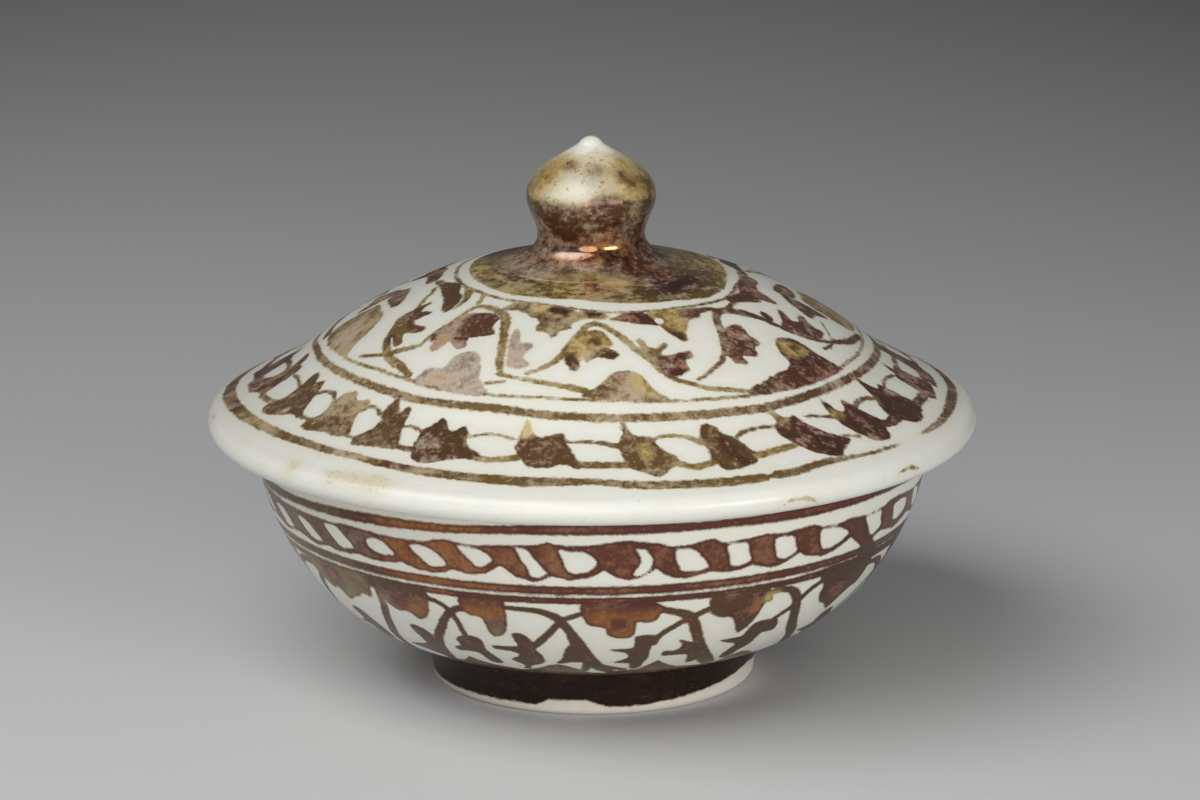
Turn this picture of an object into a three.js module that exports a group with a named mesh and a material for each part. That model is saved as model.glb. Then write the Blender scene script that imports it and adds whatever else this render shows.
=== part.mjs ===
// Lidded bowl of glazed stonepaste: a thrown bowl on a foot ring, with a domed lid that lifts off.
// Millimetres, +Z up. The origin is the centre of the foot, on the surface that the bowl stands on.
import * as THREE from 'three';

// Foot ring
const FOOT_HEIGHT = 10.2;
const FOOT_RADIUS = 36;
const FOOT_TAPER = 1.2;
const FOOT_WALL = 5.4;
const FOOT_EDGE = 1.8;

// Bowl. The belly swings from the foot to an upright rim; a pull is how far the curve keeps its direction.
const BOWL_HEIGHT = 45.8;
const BOWL_RIM_RADIUS = 72.2;
const BOWL_RIM_WALL = 4;
const BOWL_FLOOR = 6;
const BELLY_BASE_RISE = THREE.MathUtils.degToRad(4.4);
const BELLY_BASE_PULL = 18.9;
const BELLY_RIM_PULL = 20;

// Lid: a spherical dome that runs out into a hollow brim with a rolled edge
const LID_RADIUS = 82.4;
const LID_WALL = 5;
const LID_ROLL_RADIUS = 3;
const LID_ROLL_DROP = 1.9;
const DOME_RADIUS = 97;
const DOME_EDGE_RADIUS = 61.2;
const DOME_EDGE_RISE = 14.8;
const BRIM_EDGE_SLOPE = THREE.MathUtils.degToRad(26);
const BRIM_DOME_PULL = 4;
const BRIM_EDGE_PULL = 11;

// Flange under the lid, which keeps the lid centred in the bowl's mouth
const FLANGE_CLEARANCE = 2;
const FLANGE_WALL = 4.6;
const FLANGE_DEPTH = 6;
const FLANGE_EDGE = 1;
const FLANGE_DRAFT = 0.8;
const SKIRT_RUN = 5.2;

// Knob: a waisted neck under a bud, with heights above the crown of the dome
const KNOB_FLARE_RADIUS = 16.2;
const KNOB_NECK_RADIUS = 11.5;
const KNOB_NECK_RISE = 4.1;
const KNOB_RADIUS = 13.85;
const KNOB_WIDEST_RISE = 12.4;
const KNOB_HEIGHT = 25.3;
const KNOB_LIP = 0.5;
const NUB_RADIUS = 2.8;
const NUB_HEIGHT = 1.7;

// Pieces that were luted together, or that rest on each other, keep this gap.
const GAP = 0.3;
const SIDES = 48;

const GLAZE = { color: 0xe4dfd0, roughness: 0.18, metalness: 0 };
const LUSTRE = { color: 0x5a4636, roughness: 0.3, metalness: 0.35 };

// Places that follow from the sizes above
const rimTop = FOOT_HEIGHT + BOWL_HEIGHT;
const seat = rimTop + GAP;
const domeCentre = seat + DOME_EDGE_RISE - Math.sqrt(DOME_RADIUS ** 2 - DOME_EDGE_RADIUS ** 2);
const crown = domeCentre + DOME_RADIUS;
const flangeOuter = BOWL_RIM_RADIUS - BOWL_RIM_WALL - FLANGE_CLEARANCE;
const flangeInner = flangeOuter - FLANGE_WALL;

// Outlines are lists of (radius, height) points that run anticlockwise round the cut face.
const point = (radius, height) => new THREE.Vector2(radius, height);

function along(start, angle, length) {
  return point(start.x + length * Math.cos(angle), start.y + length * Math.sin(angle));
}

function curve(start, startHandle, endHandle, end, steps) {
  return new THREE.CubicBezierCurve(start, startHandle, endHandle, end).getPoints(steps);
}

// An arc about (radius, height), between two angles measured from the outward direction
function arc(radius, height, size, from, to, steps) {
  const points = [];
  for (let i = 0; i <= steps; i += 1) {
    points.push(along(point(radius, height), from + ((to - from) * i) / steps, size));
  }
  return points;
}

// A stretch of a sphere centred on the axis, between two radii
function cap(centre, size, fromRadius, toRadius, steps) {
  const from = Math.acos(fromRadius / size);
  const to = Math.acos(toRadius / size);
  return arc(0, centre, size, from, to, steps);
}

// Joins stretches into one outline, without points that repeat.
function outline(...stretches) {
  const points = [];
  for (const next of stretches.flat()) {
    const last = points[points.length - 1];
    if (!last || last.distanceTo(next) > 1e-6) points.push(next);
  }
  return points;
}

function turned(points) {
  const onAxis = points.map((p) => point(p.x < 1e-6 ? 0 : p.x, p.y));
  const geometry = new THREE.LatheGeometry(onAxis, SIDES);
  geometry.rotateX(Math.PI / 2);
  return geometry;
}

function piece(name, points, finish) {
  const mesh = new THREE.Mesh(turned(points), new THREE.MeshStandardMaterial(finish));
  mesh.name = name;
  return mesh;
}

function footRing() {
  const top = FOOT_HEIGHT - GAP;
  const outer = FOOT_RADIUS - FOOT_TAPER;
  const inner = outer - FOOT_WALL;
  const outerEdge = arc(outer - FOOT_EDGE, FOOT_EDGE, FOOT_EDGE, -Math.PI / 2, 0, 4);
  const innerEdge = arc(inner + FOOT_EDGE, FOOT_EDGE, FOOT_EDGE, Math.PI, 1.5 * Math.PI, 4);
  const sides = [point(FOOT_RADIUS, top), point(inner, top)];
  return outline(outerEdge, sides, innerEdge, [outerEdge[0]]);
}

// The outside of the belly, and the inside that keeps the wall's thickness from it
function belly() {
  const start = point(FOOT_RADIUS, FOOT_HEIGHT);
  const end = point(BOWL_RIM_RADIUS, rimTop - BOWL_RIM_WALL / 2);
  const startHandle = along(start, BELLY_BASE_RISE, BELLY_BASE_PULL);
  const endHandle = along(end, -Math.PI / 2, BELLY_RIM_PULL);
  return new THREE.CubicBezierCurve(start, startHandle, endHandle, end);
}

function bowlWall() {
  const steps = 14;
  const outside = belly();
  const inside = [];
  for (let i = steps; i >= 0; i -= 1) {
    const t = i / steps;
    const wall = THREE.MathUtils.lerp(BOWL_FLOOR, BOWL_RIM_WALL, t);
    const heading = outside.getTangent(t);
    const place = outside.getPoint(t);
    inside.push(point(place.x - heading.y * wall, place.y + heading.x * wall));
  }
  const round = BOWL_RIM_WALL / 2;
  const rim = arc(BOWL_RIM_RADIUS - round, rimTop - round, round, 0, Math.PI, 6);
  const floor = inside[inside.length - 1].y;
  return outline([point(0, FOOT_HEIGHT)], outside.getPoints(steps), rim, inside, [point(0, floor)]);
}

function lidDome() {
  const rollRadius = LID_RADIUS - LID_ROLL_RADIUS;
  const rollHeight = seat - LID_ROLL_DROP + LID_ROLL_RADIUS;
  const rollFrom = -Math.PI + Math.asin((rollHeight - seat) / LID_ROLL_RADIUS);
  const rollTo = Math.PI / 2 - BRIM_EDGE_SLOPE;
  const roll = arc(rollRadius, rollHeight, LID_ROLL_RADIUS, rollFrom, rollTo, 12);

  const innerRadius = DOME_RADIUS - LID_WALL;
  const vault = cap(domeCentre, innerRadius, 0, flangeInner - SKIRT_RUN, 9);
  const vaultEdge = vault[vault.length - 1];
  const vaultSlope = -Math.asin(vaultEdge.x / innerRadius);
  const skirtFoot = point(flangeInner, seat);
  const skirtPull = SKIRT_RUN / 2 / Math.cos(vaultSlope);
  const skirtTop = along(vaultEdge, vaultSlope, skirtPull);
  const skirtSide = along(skirtFoot, Math.PI / 2, (vaultEdge.y - seat) / 2);
  const skirt = curve(vaultEdge, skirtTop, skirtSide, skirtFoot, 4);

  const domeEdge = point(DOME_EDGE_RADIUS, seat + DOME_EDGE_RISE);
  const domeSlope = -Math.asin(DOME_EDGE_RADIUS / DOME_RADIUS);
  const rollEdge = roll[roll.length - 1];
  const brimStart = along(rollEdge, Math.PI - BRIM_EDGE_SLOPE, BRIM_EDGE_PULL);
  const brimEnd = along(domeEdge, domeSlope, BRIM_DOME_PULL);
  const brim = curve(rollEdge, brimStart, brimEnd, domeEdge, 6);
  const dome = cap(domeCentre, DOME_RADIUS, DOME_EDGE_RADIUS, 0, 10);
  return outline(vault, skirt, roll, brim, dome);
}

function lidFlange() {
  const top = seat - GAP;
  const bottom = seat - FLANGE_DEPTH;
  const outer = flangeOuter - FLANGE_DRAFT;
  const outerEdge = arc(outer - FLANGE_EDGE, bottom + FLANGE_EDGE, FLANGE_EDGE, -Math.PI / 2, 0, 3);
  const innerEdge = arc(flangeInner + FLANGE_EDGE, bottom + FLANGE_EDGE, FLANGE_EDGE, Math.PI, 1.5 * Math.PI, 3);
  const sides = [point(flangeOuter, top), point(flangeInner, top)];
  return outline(outerEdge, sides, innerEdge, [outerEdge[0]]);
}

function lidKnob() {
  const under = cap(domeCentre, DOME_RADIUS + GAP, 0, KNOB_FLARE_RADIUS, 4);
  const flare = under[under.length - 1];
  const lip = point(flare.x, flare.y + KNOB_LIP);
  const waist = point(KNOB_NECK_RADIUS, crown + KNOB_NECK_RISE);
  const widest = point(KNOB_RADIUS, crown + KNOB_WIDEST_RISE);
  const nubFoot = point(NUB_RADIUS, crown + KNOB_HEIGHT - NUB_HEIGHT);
  const tip = point(0, crown + KNOB_HEIGHT);

  const flarePull = (lip.x - waist.x) * 0.7;
  const flareHandle = point(lip.x - flarePull, lip.y + flarePull * 0.2);
  const waistRise = waist.y - lip.y;
  const neck = curve(lip, flareHandle, point(waist.x, waist.y - waistRise * 0.6), waist, 5);
  const bulge = widest.y - waist.y;
  const throat = point(waist.x, waist.y + bulge * 0.35);
  const bud = curve(waist, throat, point(widest.x, widest.y - bulge * 0.35), widest, 5);
  const cone = nubFoot.y - widest.y;
  const shoulder = point(widest.x, widest.y + cone * 0.4);
  const coneEnd = point(nubFoot.x + cone * 0.4, nubFoot.y - cone * 0.28);
  const top = curve(widest, shoulder, coneEnd, nubFoot, 7);
  const nubSide = point(nubFoot.x * 0.8, nubFoot.y + NUB_HEIGHT * 0.8);
  const nub = curve(nubFoot, nubSide, point(nubFoot.x * 0.5, tip.y), tip, 4);
  return outline(under, [lip], neck, bud, top, nub);
}

const bowl = new THREE.Group();
bowl.add(piece('bowl_wall', bowlWall(), GLAZE));
bowl.add(piece('foot_ring', footRing(), GLAZE));

const lid = new THREE.Group();
lid.add(piece('lid_dome', lidDome(), GLAZE));
lid.add(piece('lid_flange', lidFlange(), GLAZE));
lid.add(piece('lid_knob', lidKnob(), LUSTRE));

const object = new THREE.Group();
object.add(bowl, lid);

export default object;
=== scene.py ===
import math

import bpy
import numpy as np
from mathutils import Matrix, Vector


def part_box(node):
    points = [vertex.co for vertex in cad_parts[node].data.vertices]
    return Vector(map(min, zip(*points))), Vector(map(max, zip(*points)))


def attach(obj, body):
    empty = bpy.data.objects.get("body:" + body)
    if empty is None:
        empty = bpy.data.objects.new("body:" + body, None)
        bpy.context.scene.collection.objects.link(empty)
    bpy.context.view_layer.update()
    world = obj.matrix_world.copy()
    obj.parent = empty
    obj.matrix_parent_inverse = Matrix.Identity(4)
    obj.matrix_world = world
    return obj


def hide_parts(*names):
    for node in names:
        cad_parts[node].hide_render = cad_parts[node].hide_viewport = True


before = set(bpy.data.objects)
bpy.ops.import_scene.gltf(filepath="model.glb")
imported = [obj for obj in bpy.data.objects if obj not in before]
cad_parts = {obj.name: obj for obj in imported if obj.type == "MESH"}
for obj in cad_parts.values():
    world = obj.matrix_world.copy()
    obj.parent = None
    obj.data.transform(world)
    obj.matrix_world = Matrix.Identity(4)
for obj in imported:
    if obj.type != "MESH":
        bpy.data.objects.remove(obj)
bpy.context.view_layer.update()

# A covered bowl of white-glazed stonepaste, painted with a brush in brown lustre.
# Sizes are in millimetres and are multiplied by MM where Blender takes metres.
# On a painted surface, a place is (turn, along): turn is degrees round the axis from the front, with the
# viewer's right positive, and along is mm down the surface.
MM = 0.001


def node_sizes(node):
    """Outer radius, lowest and highest point of a CAD node, in mm."""
    low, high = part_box(node)
    return high.x / MM, low.z / MM, high.z / MM


BOWL_RADIUS, BOWL_BASE, BOWL_TOP = node_sizes("bowl_wall")
FOOT_RADIUS, _, _ = node_sizes("foot_ring")
LID_RADIUS, LID_BASE, CROWN = node_sizes("lid_dome")
FLANGE_RADIUS, FLANGE_BASE, _ = node_sizes("lid_flange")
KNOB_FLARE, _, KNOB_TOP = node_sizes("lid_knob")

# Walls and curves that the boxes don't give
GAP = 0.3
BOWL_RIM_WALL = 4
BOWL_FLOOR = 6
BELLY_BASE_RISE = math.radians(4.4)
BELLY_BASE_PULL = 18.9
BELLY_RIM_PULL = 20
FOOT_TAPER = 1.2
FOOT_WALL = 5.4
FOOT_EDGE = 1.8
LID_WALL = 5
ROLL_RADIUS = 3
DOME_RADIUS = 97
DOME_EDGE_RADIUS = 61.2
BRIM_EDGE_SLOPE = math.radians(26)
BRIM_DOME_PULL = 4
BRIM_EDGE_PULL = 11
FLANGE_WALL = 4.6
FLANGE_DRAFT = 0.8
FLANGE_EDGE = 1
SKIRT_RUN = 5.2
KNOB_NECK_RADIUS = 11.5
KNOB_NECK_RISE = 4.1
KNOB_RADIUS = 13.85
KNOB_WIDEST_RISE = 12.4
NUB_RADIUS = 2.8
NUB_HEIGHT = 1.7

SEAT = BOWL_TOP + GAP
DOME_CENTRE = CROWN - DOME_RADIUS

# How many sides each piece is turned with
LID_SIDES = 590
BOWL_SIDES = 640
FLANGE_SIDES = 240
FOOT_SIDES = 320
KNOB_SIDES = 320

# How far apart the points of an outline lie: where it is painted, on roundings, inside, on flat faces, and
# where nothing is seen
FINE = 0.55
ROUNDED = 0.7
COARSE = 2.6
FLAT = 5
HIDDEN = 6


# Outlines, as arrays of (radius, height) in mm

def arc(radius, height, size, start, end, count=24):
    turns = np.linspace(start, end, count)
    return np.stack([radius + size * np.cos(turns), height + size * np.sin(turns)], 1)


def bezier(start, start_handle, end_handle, end, count=60):
    t = np.linspace(0, 1, count)[:, None]
    corners = [np.array(p, float) for p in (start, start_handle, end_handle, end)]
    weights = [(1 - t) ** 3, 3 * t * (1 - t) ** 2, 3 * t * t * (1 - t), t ** 3]
    return sum(w * p for w, p in zip(weights, corners))


def dome(size, from_radius, to_radius, count=80):
    """A stretch of a sphere about the lid's dome centre."""
    return arc(0, DOME_CENTRE, size, math.acos(from_radius / size), math.acos(to_radius / size), count)


def dome_height(radius):
    return DOME_CENTRE + math.sqrt(DOME_RADIUS ** 2 - radius ** 2)


def along_of(points):
    """How far along the outline each of its points lies."""
    return np.r_[0, np.cumsum(np.hypot(*np.diff(points, axis=0).T))]


def spaced(points, spacing):
    """The same stretch with evenly spaced points."""
    along = along_of(points)
    places = np.linspace(0, along[-1], max(2, round(along[-1] / spacing) + 1))
    return np.stack([np.interp(places, along, points[:, k]) for k in (0, 1)], 1)


def outline(*stretches):
    """Joins stretches given as (points, spacing), and drops points that repeat."""
    points = np.concatenate([spaced(np.asarray(p, float), spacing) for p, spacing in stretches])
    steps = np.hypot(*np.diff(points, axis=0).T)
    return points[np.r_[True, steps > 1e-4]]


# Turned pieces

def deselect_all():
    bpy.ops.object.select_all(action="DESELECT")


def turn_piece(name, points, sides):
    """Draws the outline as a chain of edges and spins it round the axis."""
    deselect_all()
    radius, height = points[0] * MM
    bpy.ops.mesh.primitive_plane_add(size=MM, location=(radius, 0, height))
    piece = bpy.context.object
    piece.name = piece.data.name = name
    bpy.ops.object.transform_apply(location=True, rotation=False, scale=False)
    bpy.ops.object.mode_set(mode="EDIT")
    bpy.ops.mesh.merge(type="CENTER")
    for step in np.diff(points, axis=0) * MM:
        bpy.ops.mesh.extrude_region_move(TRANSFORM_OT_translate={"value": (step[0], 0, step[1])})
    bpy.ops.mesh.select_all(action="SELECT")
    bpy.ops.mesh.spin(steps=sides, angle=2 * math.pi, center=(0, 0, 0), axis=(0, 0, 1))
    bpy.ops.mesh.select_all(action="SELECT")
    bpy.ops.mesh.remove_doubles(threshold=1e-6)
    bpy.ops.mesh.normals_make_consistent(inside=False)
    bpy.ops.object.mode_set(mode="OBJECT")
    bpy.ops.object.shade_smooth()
    return piece


def corners_of(piece):
    """Places of the piece's vertices in mm."""
    places = np.empty(len(piece.data.vertices) * 3)
    piece.data.vertices.foreach_get("co", places)
    return places.reshape(-1, 3) / MM


# Brushwork

def smooth(points, closed=False, shift=0.0, count=5):
    """A soft curve through given points."""
    points = np.array(points, float) + (shift, 0)
    if closed:
        before, here = np.roll(points, 1, 0), points
        after, beyond = np.roll(points, -1, 0), np.roll(points, -2, 0)
    else:
        ends = np.concatenate([2 * points[:1] - points[1:2], points, 2 * points[-1:] - points[-2:-1]])
        before, here, after, beyond = ends[:-3], ends[1:-2], ends[2:-1], ends[3:]
    t = np.linspace(0, 1, count, endpoint=False)[None, :, None]
    a, b, c, d = (p[:, None, :] for p in (before, here, after, beyond))
    curve = b + t * (c - a) / 2 + t * t * (a - 2.5 * b + 2 * c - d / 2)
    curve = (curve + t ** 3 * (1.5 * (b - c) + (d - a) / 2)).reshape(-1, 2)
    return curve if closed else np.concatenate([curve, points[-1:]])


def level(turn, places, period=360):
    """A height that wanders round the piece through listed (turn, height) points."""
    turns, heights = np.array(places, float).T
    return np.interp(turn, turns, heights, period=period)


class Painting:
    """Brushwork on a turned piece. Each vertex gets the distance in mm to the nearest painted edge
    (negative under paint), the tone of that paint and how thickly it lies. It also gets a place in the
    grain that the brush's hairs leave, and how much the lustre shines there."""

    FAR = 3.0
    FIRST_TONE = 0.4
    OUTLINE_STEP = 0.05

    # How many mm round and down the piece a hair's track reaches, in strokes that go round it or down it
    ROUND_HAIRS = (5, 0.6)
    DOWN_HAIRS = (0.7, 5)
    GRAIN_RADIUS = 60

    def __init__(self, piece, points, start, slant=None):
        """start is the outline point where along is 0; along grows down the outside. Leaves are brushed
        down the surface on a slant of so many mm across for each mm down, or round it if that is None."""
        places = corners_of(piece)
        radius = np.hypot(places[:, 0], places[:, 1])
        self.height = places[:, 2]
        self.turn = np.degrees(np.arctan2(places[:, 0], -places[:, 1]))
        along = along_of(points)
        away = np.hypot(radius[:, None] - points[None, :, 0], places[:, 2:3] - points[None, :, 1])
        dense = spaced(points, self.OUTLINE_STEP)
        zero = along_of(dense)[np.argmin(np.hypot(*(dense - np.array(start)).T))]
        self.along = zero - along[np.argmin(away, 1)]
        self.radius = np.maximum(radius, 1.0)
        self.edge = np.full(len(radius), self.FAR)
        self.tone = np.full(len(radius), self.FIRST_TONE)
        self.body = np.ones(len(radius))
        self.shine = np.zeros(len(radius))
        self.downward = np.zeros(len(radius), bool)
        self.slant = slant
        self.piece = piece

    def lay(self, chosen, distance, tone, body, downward=False):
        """Adds paint: distance is its signed distance at the chosen vertices."""
        nearer = distance < self.edge[chosen]
        places = np.flatnonzero(chosen)[nearer]
        self.downward[places] = downward
        self.edge[places] = distance[nearer]
        self.tone[places] = np.broadcast_to(tone, distance.shape)[nearer]
        self.body[places] = np.broadcast_to(body, distance.shape)[nearer]

    def near(self, shape):
        """Vertices close to a shape, and the shape's points as mm across and down from each of them."""
        middle = shape[:, 0].mean()
        away = (self.turn - middle + 180) % 360 - 180
        reach = np.degrees(self.FAR / self.radius)
        chosen = (away > shape[:, 0].min() - middle - reach) & (away < shape[:, 0].max() - middle + reach)
        chosen &= (self.along > shape[:, 1].min() - self.FAR) & (self.along < shape[:, 1].max() + self.FAR)
        scale = np.radians(1) * self.radius[chosen][:, None]
        across = (shape[:, 0] - middle - away[chosen][:, None]) * scale
        down = shape[:, 1] - self.along[chosen][:, None]
        return chosen, across, down

    def outline_distance(self, points, shift=0.0):
        """Signed distance to a closed outline, negative inside."""
        chosen, x, y = self.near(smooth(points, closed=True, shift=shift))
        x2, y2 = np.roll(x, -1, 1), np.roll(y, -1, 1)
        ex, ey = x2 - x, y2 - y
        t = np.clip(-(x * ex + y * ey) / (ex * ex + ey * ey + 1e-9), 0, 1)
        distance = np.hypot(x + t * ex, y + t * ey).min(1)
        crosses = (y > 0) != (y2 > 0)
        side = x - y * ex / np.where(np.abs(ey) < 1e-9, 1e-9, ey) > 0
        inside = (crosses & side).sum(1) % 2 == 1
        return chosen, np.where(inside, -distance, distance)

    def leaf(self, points, tone, body, shift):
        self.lay(*self.outline_distance(points, shift), tone, body, self.slant is not None)

    def touch(self, points, tone, body, shift=0.0, soft=1.2):
        """Goes over a part of what is painted with more or less paint, soft at the edge by so many mm."""
        chosen, distance = self.outline_distance(points, shift)
        weight = np.clip(0.5 - distance / soft, 0, 1)
        self.tone[chosen] += weight * (tone - self.tone[chosen])
        self.body[chosen] += weight * (body - self.body[chosen])

    def window(self, points, shift=0.0):
        """Leaves the glaze bare inside a shape."""
        chosen, distance = self.outline_distance(points, shift)
        places = np.flatnonzero(chosen)
        self.edge[places] = np.maximum(self.edge[places], -distance)

    def stroke(self, points, width, tone, body, shift=0.0):
        """A brush stroke; width is one number, or one for each point."""
        shape = smooth(points, shift=shift)
        widths = np.interp(
            np.linspace(0, 1, len(shape)), np.linspace(0, 1, np.size(width)), np.atleast_1d(width),
        )
        chosen, x, y = self.near(shape)
        ex, ey = np.diff(x, axis=1), np.diff(y, axis=1)
        x, y = x[:, :-1], y[:, :-1]
        t = np.clip(-(x * ex + y * ey) / (ex * ex + ey * ey + 1e-9), 0, 1)
        half = (widths[:-1] + t * np.diff(widths)) / 2
        self.lay(chosen, (np.hypot(x + t * ex, y + t * ey) - half).min(1), tone, body)

    def band(self, top, bottom, tone, body):
        """A ring of paint between two heights, which may change with the turn."""
        everywhere = np.ones(len(self.edge), bool)
        self.lay(everywhere, np.maximum(top - self.along, self.along - bottom), tone, body)

    def ring(self, middle, half, tone, body):
        self.band(middle - half, middle + half, tone, body)

    def grain(self):
        """Places in a cylinder of noise, where 1 is the width or the length of a hair's track."""
        lean = np.where(self.downward, (self.slant or 0) * self.along / self.GRAIN_RADIUS, 0)
        turn = np.radians(self.turn) - lean
        wide, long = (np.where(self.downward, d, r) for d, r in zip(self.DOWN_HAIRS, self.ROUND_HAIRS))
        across, towards = self.GRAIN_RADIUS * np.sin(turn), self.GRAIN_RADIUS * np.cos(turn)
        return across / wide, towards / wide, self.along / long

    def finish(self):
        made = self.piece.data.attributes
        for name, values in (("brushwork", (self.edge, self.tone, self.body)), ("grain", self.grain())):
            vectors = np.stack(values, 1).astype(np.float32).ravel()
            made.new(name, "FLOAT_VECTOR", "POINT").data.foreach_set("vector", vectors)
        made.new("shine", "FLOAT", "POINT").data.foreach_set("value", self.shine.astype(np.float32))


# Tones of the lustre. How thickly it lies runs from 0, a wash, to 1, and past 1 it turns black.
OLIVE, UMBER, BROWN, PURPLE, COPPER = 0.05, 0.3, 0.52, 0.76, 1.0
SEPIA, RUSSET, BRONZE = UMBER - 0.1, UMBER + 0.1, COPPER - 0.1

# What isn't in view repeats what is, half a turn on.
HALF_TURN = 180
HALVES = (0, HALF_TURN)


def seen_turn(turn):
    """The turn, from -90 to 90, of the place in view that a place is or repeats."""
    return (turn + 90) % HALF_TURN - 90


def blend_patches(patches, turn, place, tone, body):
    """Blends soft patches, given as (turn, place, degrees wide, mm tall, tone, thickness), into paint."""
    for middle, height, wide, tall, patch_tone, patch_body in patches:
        away = (turn - middle + 180) % 360 - 180
        weight = np.exp(-((away / wide) ** 2) - ((place - height) / tall) ** 2)
        tone = tone + weight * (patch_tone - tone)
        body = body + weight * (patch_body - body)
    return tone, body


# Lid

# The fine outline of the painted zone ends at this radius, near the disc.
PAINTED_INNER = 26
LID_ZERO_RADIUS = 16
LID_ZERO = (LID_ZERO_RADIUS, dome_height(LID_ZERO_RADIUS))
LID_SLANT = 0.8


def lid_outline():
    roll_radius = LID_RADIUS - ROLL_RADIUS
    roll_height = LID_BASE + ROLL_RADIUS
    roll_start = -math.pi + math.asin((roll_height - SEAT) / ROLL_RADIUS)
    roll = arc(roll_radius, roll_height, ROLL_RADIUS, roll_start, math.pi / 2 - BRIM_EDGE_SLOPE)

    inner_radius = DOME_RADIUS - LID_WALL
    flange_inner = FLANGE_RADIUS - FLANGE_WALL
    vault = dome(inner_radius, 0, flange_inner - SKIRT_RUN)
    slope = math.asin(vault[-1][0] / inner_radius)
    skirt_top = vault[-1] + SKIRT_RUN / 2 * np.array([1, -math.tan(slope)])
    skirt_side = (flange_inner, (vault[-1][1] + SEAT) / 2)
    skirt = bezier(vault[-1], skirt_top, skirt_side, (flange_inner, SEAT))
    seat = np.array([(flange_inner, SEAT), roll[0]])

    edge = np.array([DOME_EDGE_RADIUS, dome_height(DOME_EDGE_RADIUS)])
    slope = math.asin(DOME_EDGE_RADIUS / DOME_RADIUS)
    dome_handle = edge + BRIM_DOME_PULL * np.array([math.cos(slope), -math.sin(slope)])
    inward = np.array([-math.cos(BRIM_EDGE_SLOPE), math.sin(BRIM_EDGE_SLOPE)])
    brim = bezier(roll[-1], roll[-1] + BRIM_EDGE_PULL * inward, dome_handle, edge)
    under_knob = KNOB_FLARE - 2
    painted = dome(DOME_RADIUS, DOME_EDGE_RADIUS, PAINTED_INNER, 120)
    top = dome(DOME_RADIUS, PAINTED_INNER, under_knob)
    hidden = dome(DOME_RADIUS, under_knob, 0)
    return outline(
        (vault, HIDDEN), (skirt, COARSE), (seat, COARSE), (roll, ROUNDED), (brim, FINE),
        (painted, FINE), (top, 0.9), (hidden, HIDDEN),
    )


# Where the rings of the lid wander, as (turn, along)
DISC_EDGE = [
    (-90, 10.2), (-60, 11), (-38, 12), (-20, 11.7), (-6, 11.6), (4, 12.8), (20, 14), (36, 14.8), (50, 16.1),
    (64, 15.5), (78, 13.8), (90, 13), (180, 11),
]
UPPER_LINE = [
    (-90, 13.2), (-70, 13.6), (-52, 13.8), (-36, 14.2), (-20, 14.2), (-10, 15.1), (0, 16.2), (8, 17),
    (20, 17.4), (34, 17.5), (44, 17.9), (56, 18.2), (66, 17.4), (74, 16.6), (90, 16.4), (180, 14),
]
LOWER_LINE = [
    (-90, 43.7), (-66, 43.6), (-54, 42.9), (-42, 43.4), (-36, 44.2), (-10, 43.8), (2, 44.3), (14, 45.2),
    (26, 45.9), (36, 46.5), (54, 47), (64, 46.1), (90, 46.1), (180, 44.6),
]
SECOND_LINE = [
    (-96, 48.4), (-86, 47.2), (-60, 46.9), (-48, 47.2), (-38, 47.8), (-20, 47.3), (-8, 48.4), (4, 49),
    (24, 49.6), (36, 50.1), (50, 49.4), (66, 49.2), (80, 49.6), (96, 50.4), (180, 49.4),
]
RIM_LINE = [
    (-100, 70.6), (-90, 69.4), (-78, 67.8), (-66, 66.7), (-52, 66.1), (-40, 66), (-30, 66.8), (-10, 67.4),
    (0, 67), (8, 68.5), (22, 69.3), (32, 69), (39, 67.8), (50, 68.8), (70, 69.1), (84, 68.5), (96, 69.2),
    (180, 69.6),
]
RIM_LINE_HALF = [
    (-90, 1.6), (-78, 1.5), (-60, 1.2), (-42, 0.95), (-25, 1.2), (-10, 1.5), (0, 1), (8, 1.2), (22, 1.35),
    (27, 1.2), (28, 0.4), (29, 1.2), (39, 1), (44, 0.6), (55, 0.4), (57, -0.6), (61, -0.6), (64, 0.6),
    (74, 0.9), (84, 1.25), (100, 1.2), (180, 1.3),
]

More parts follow.
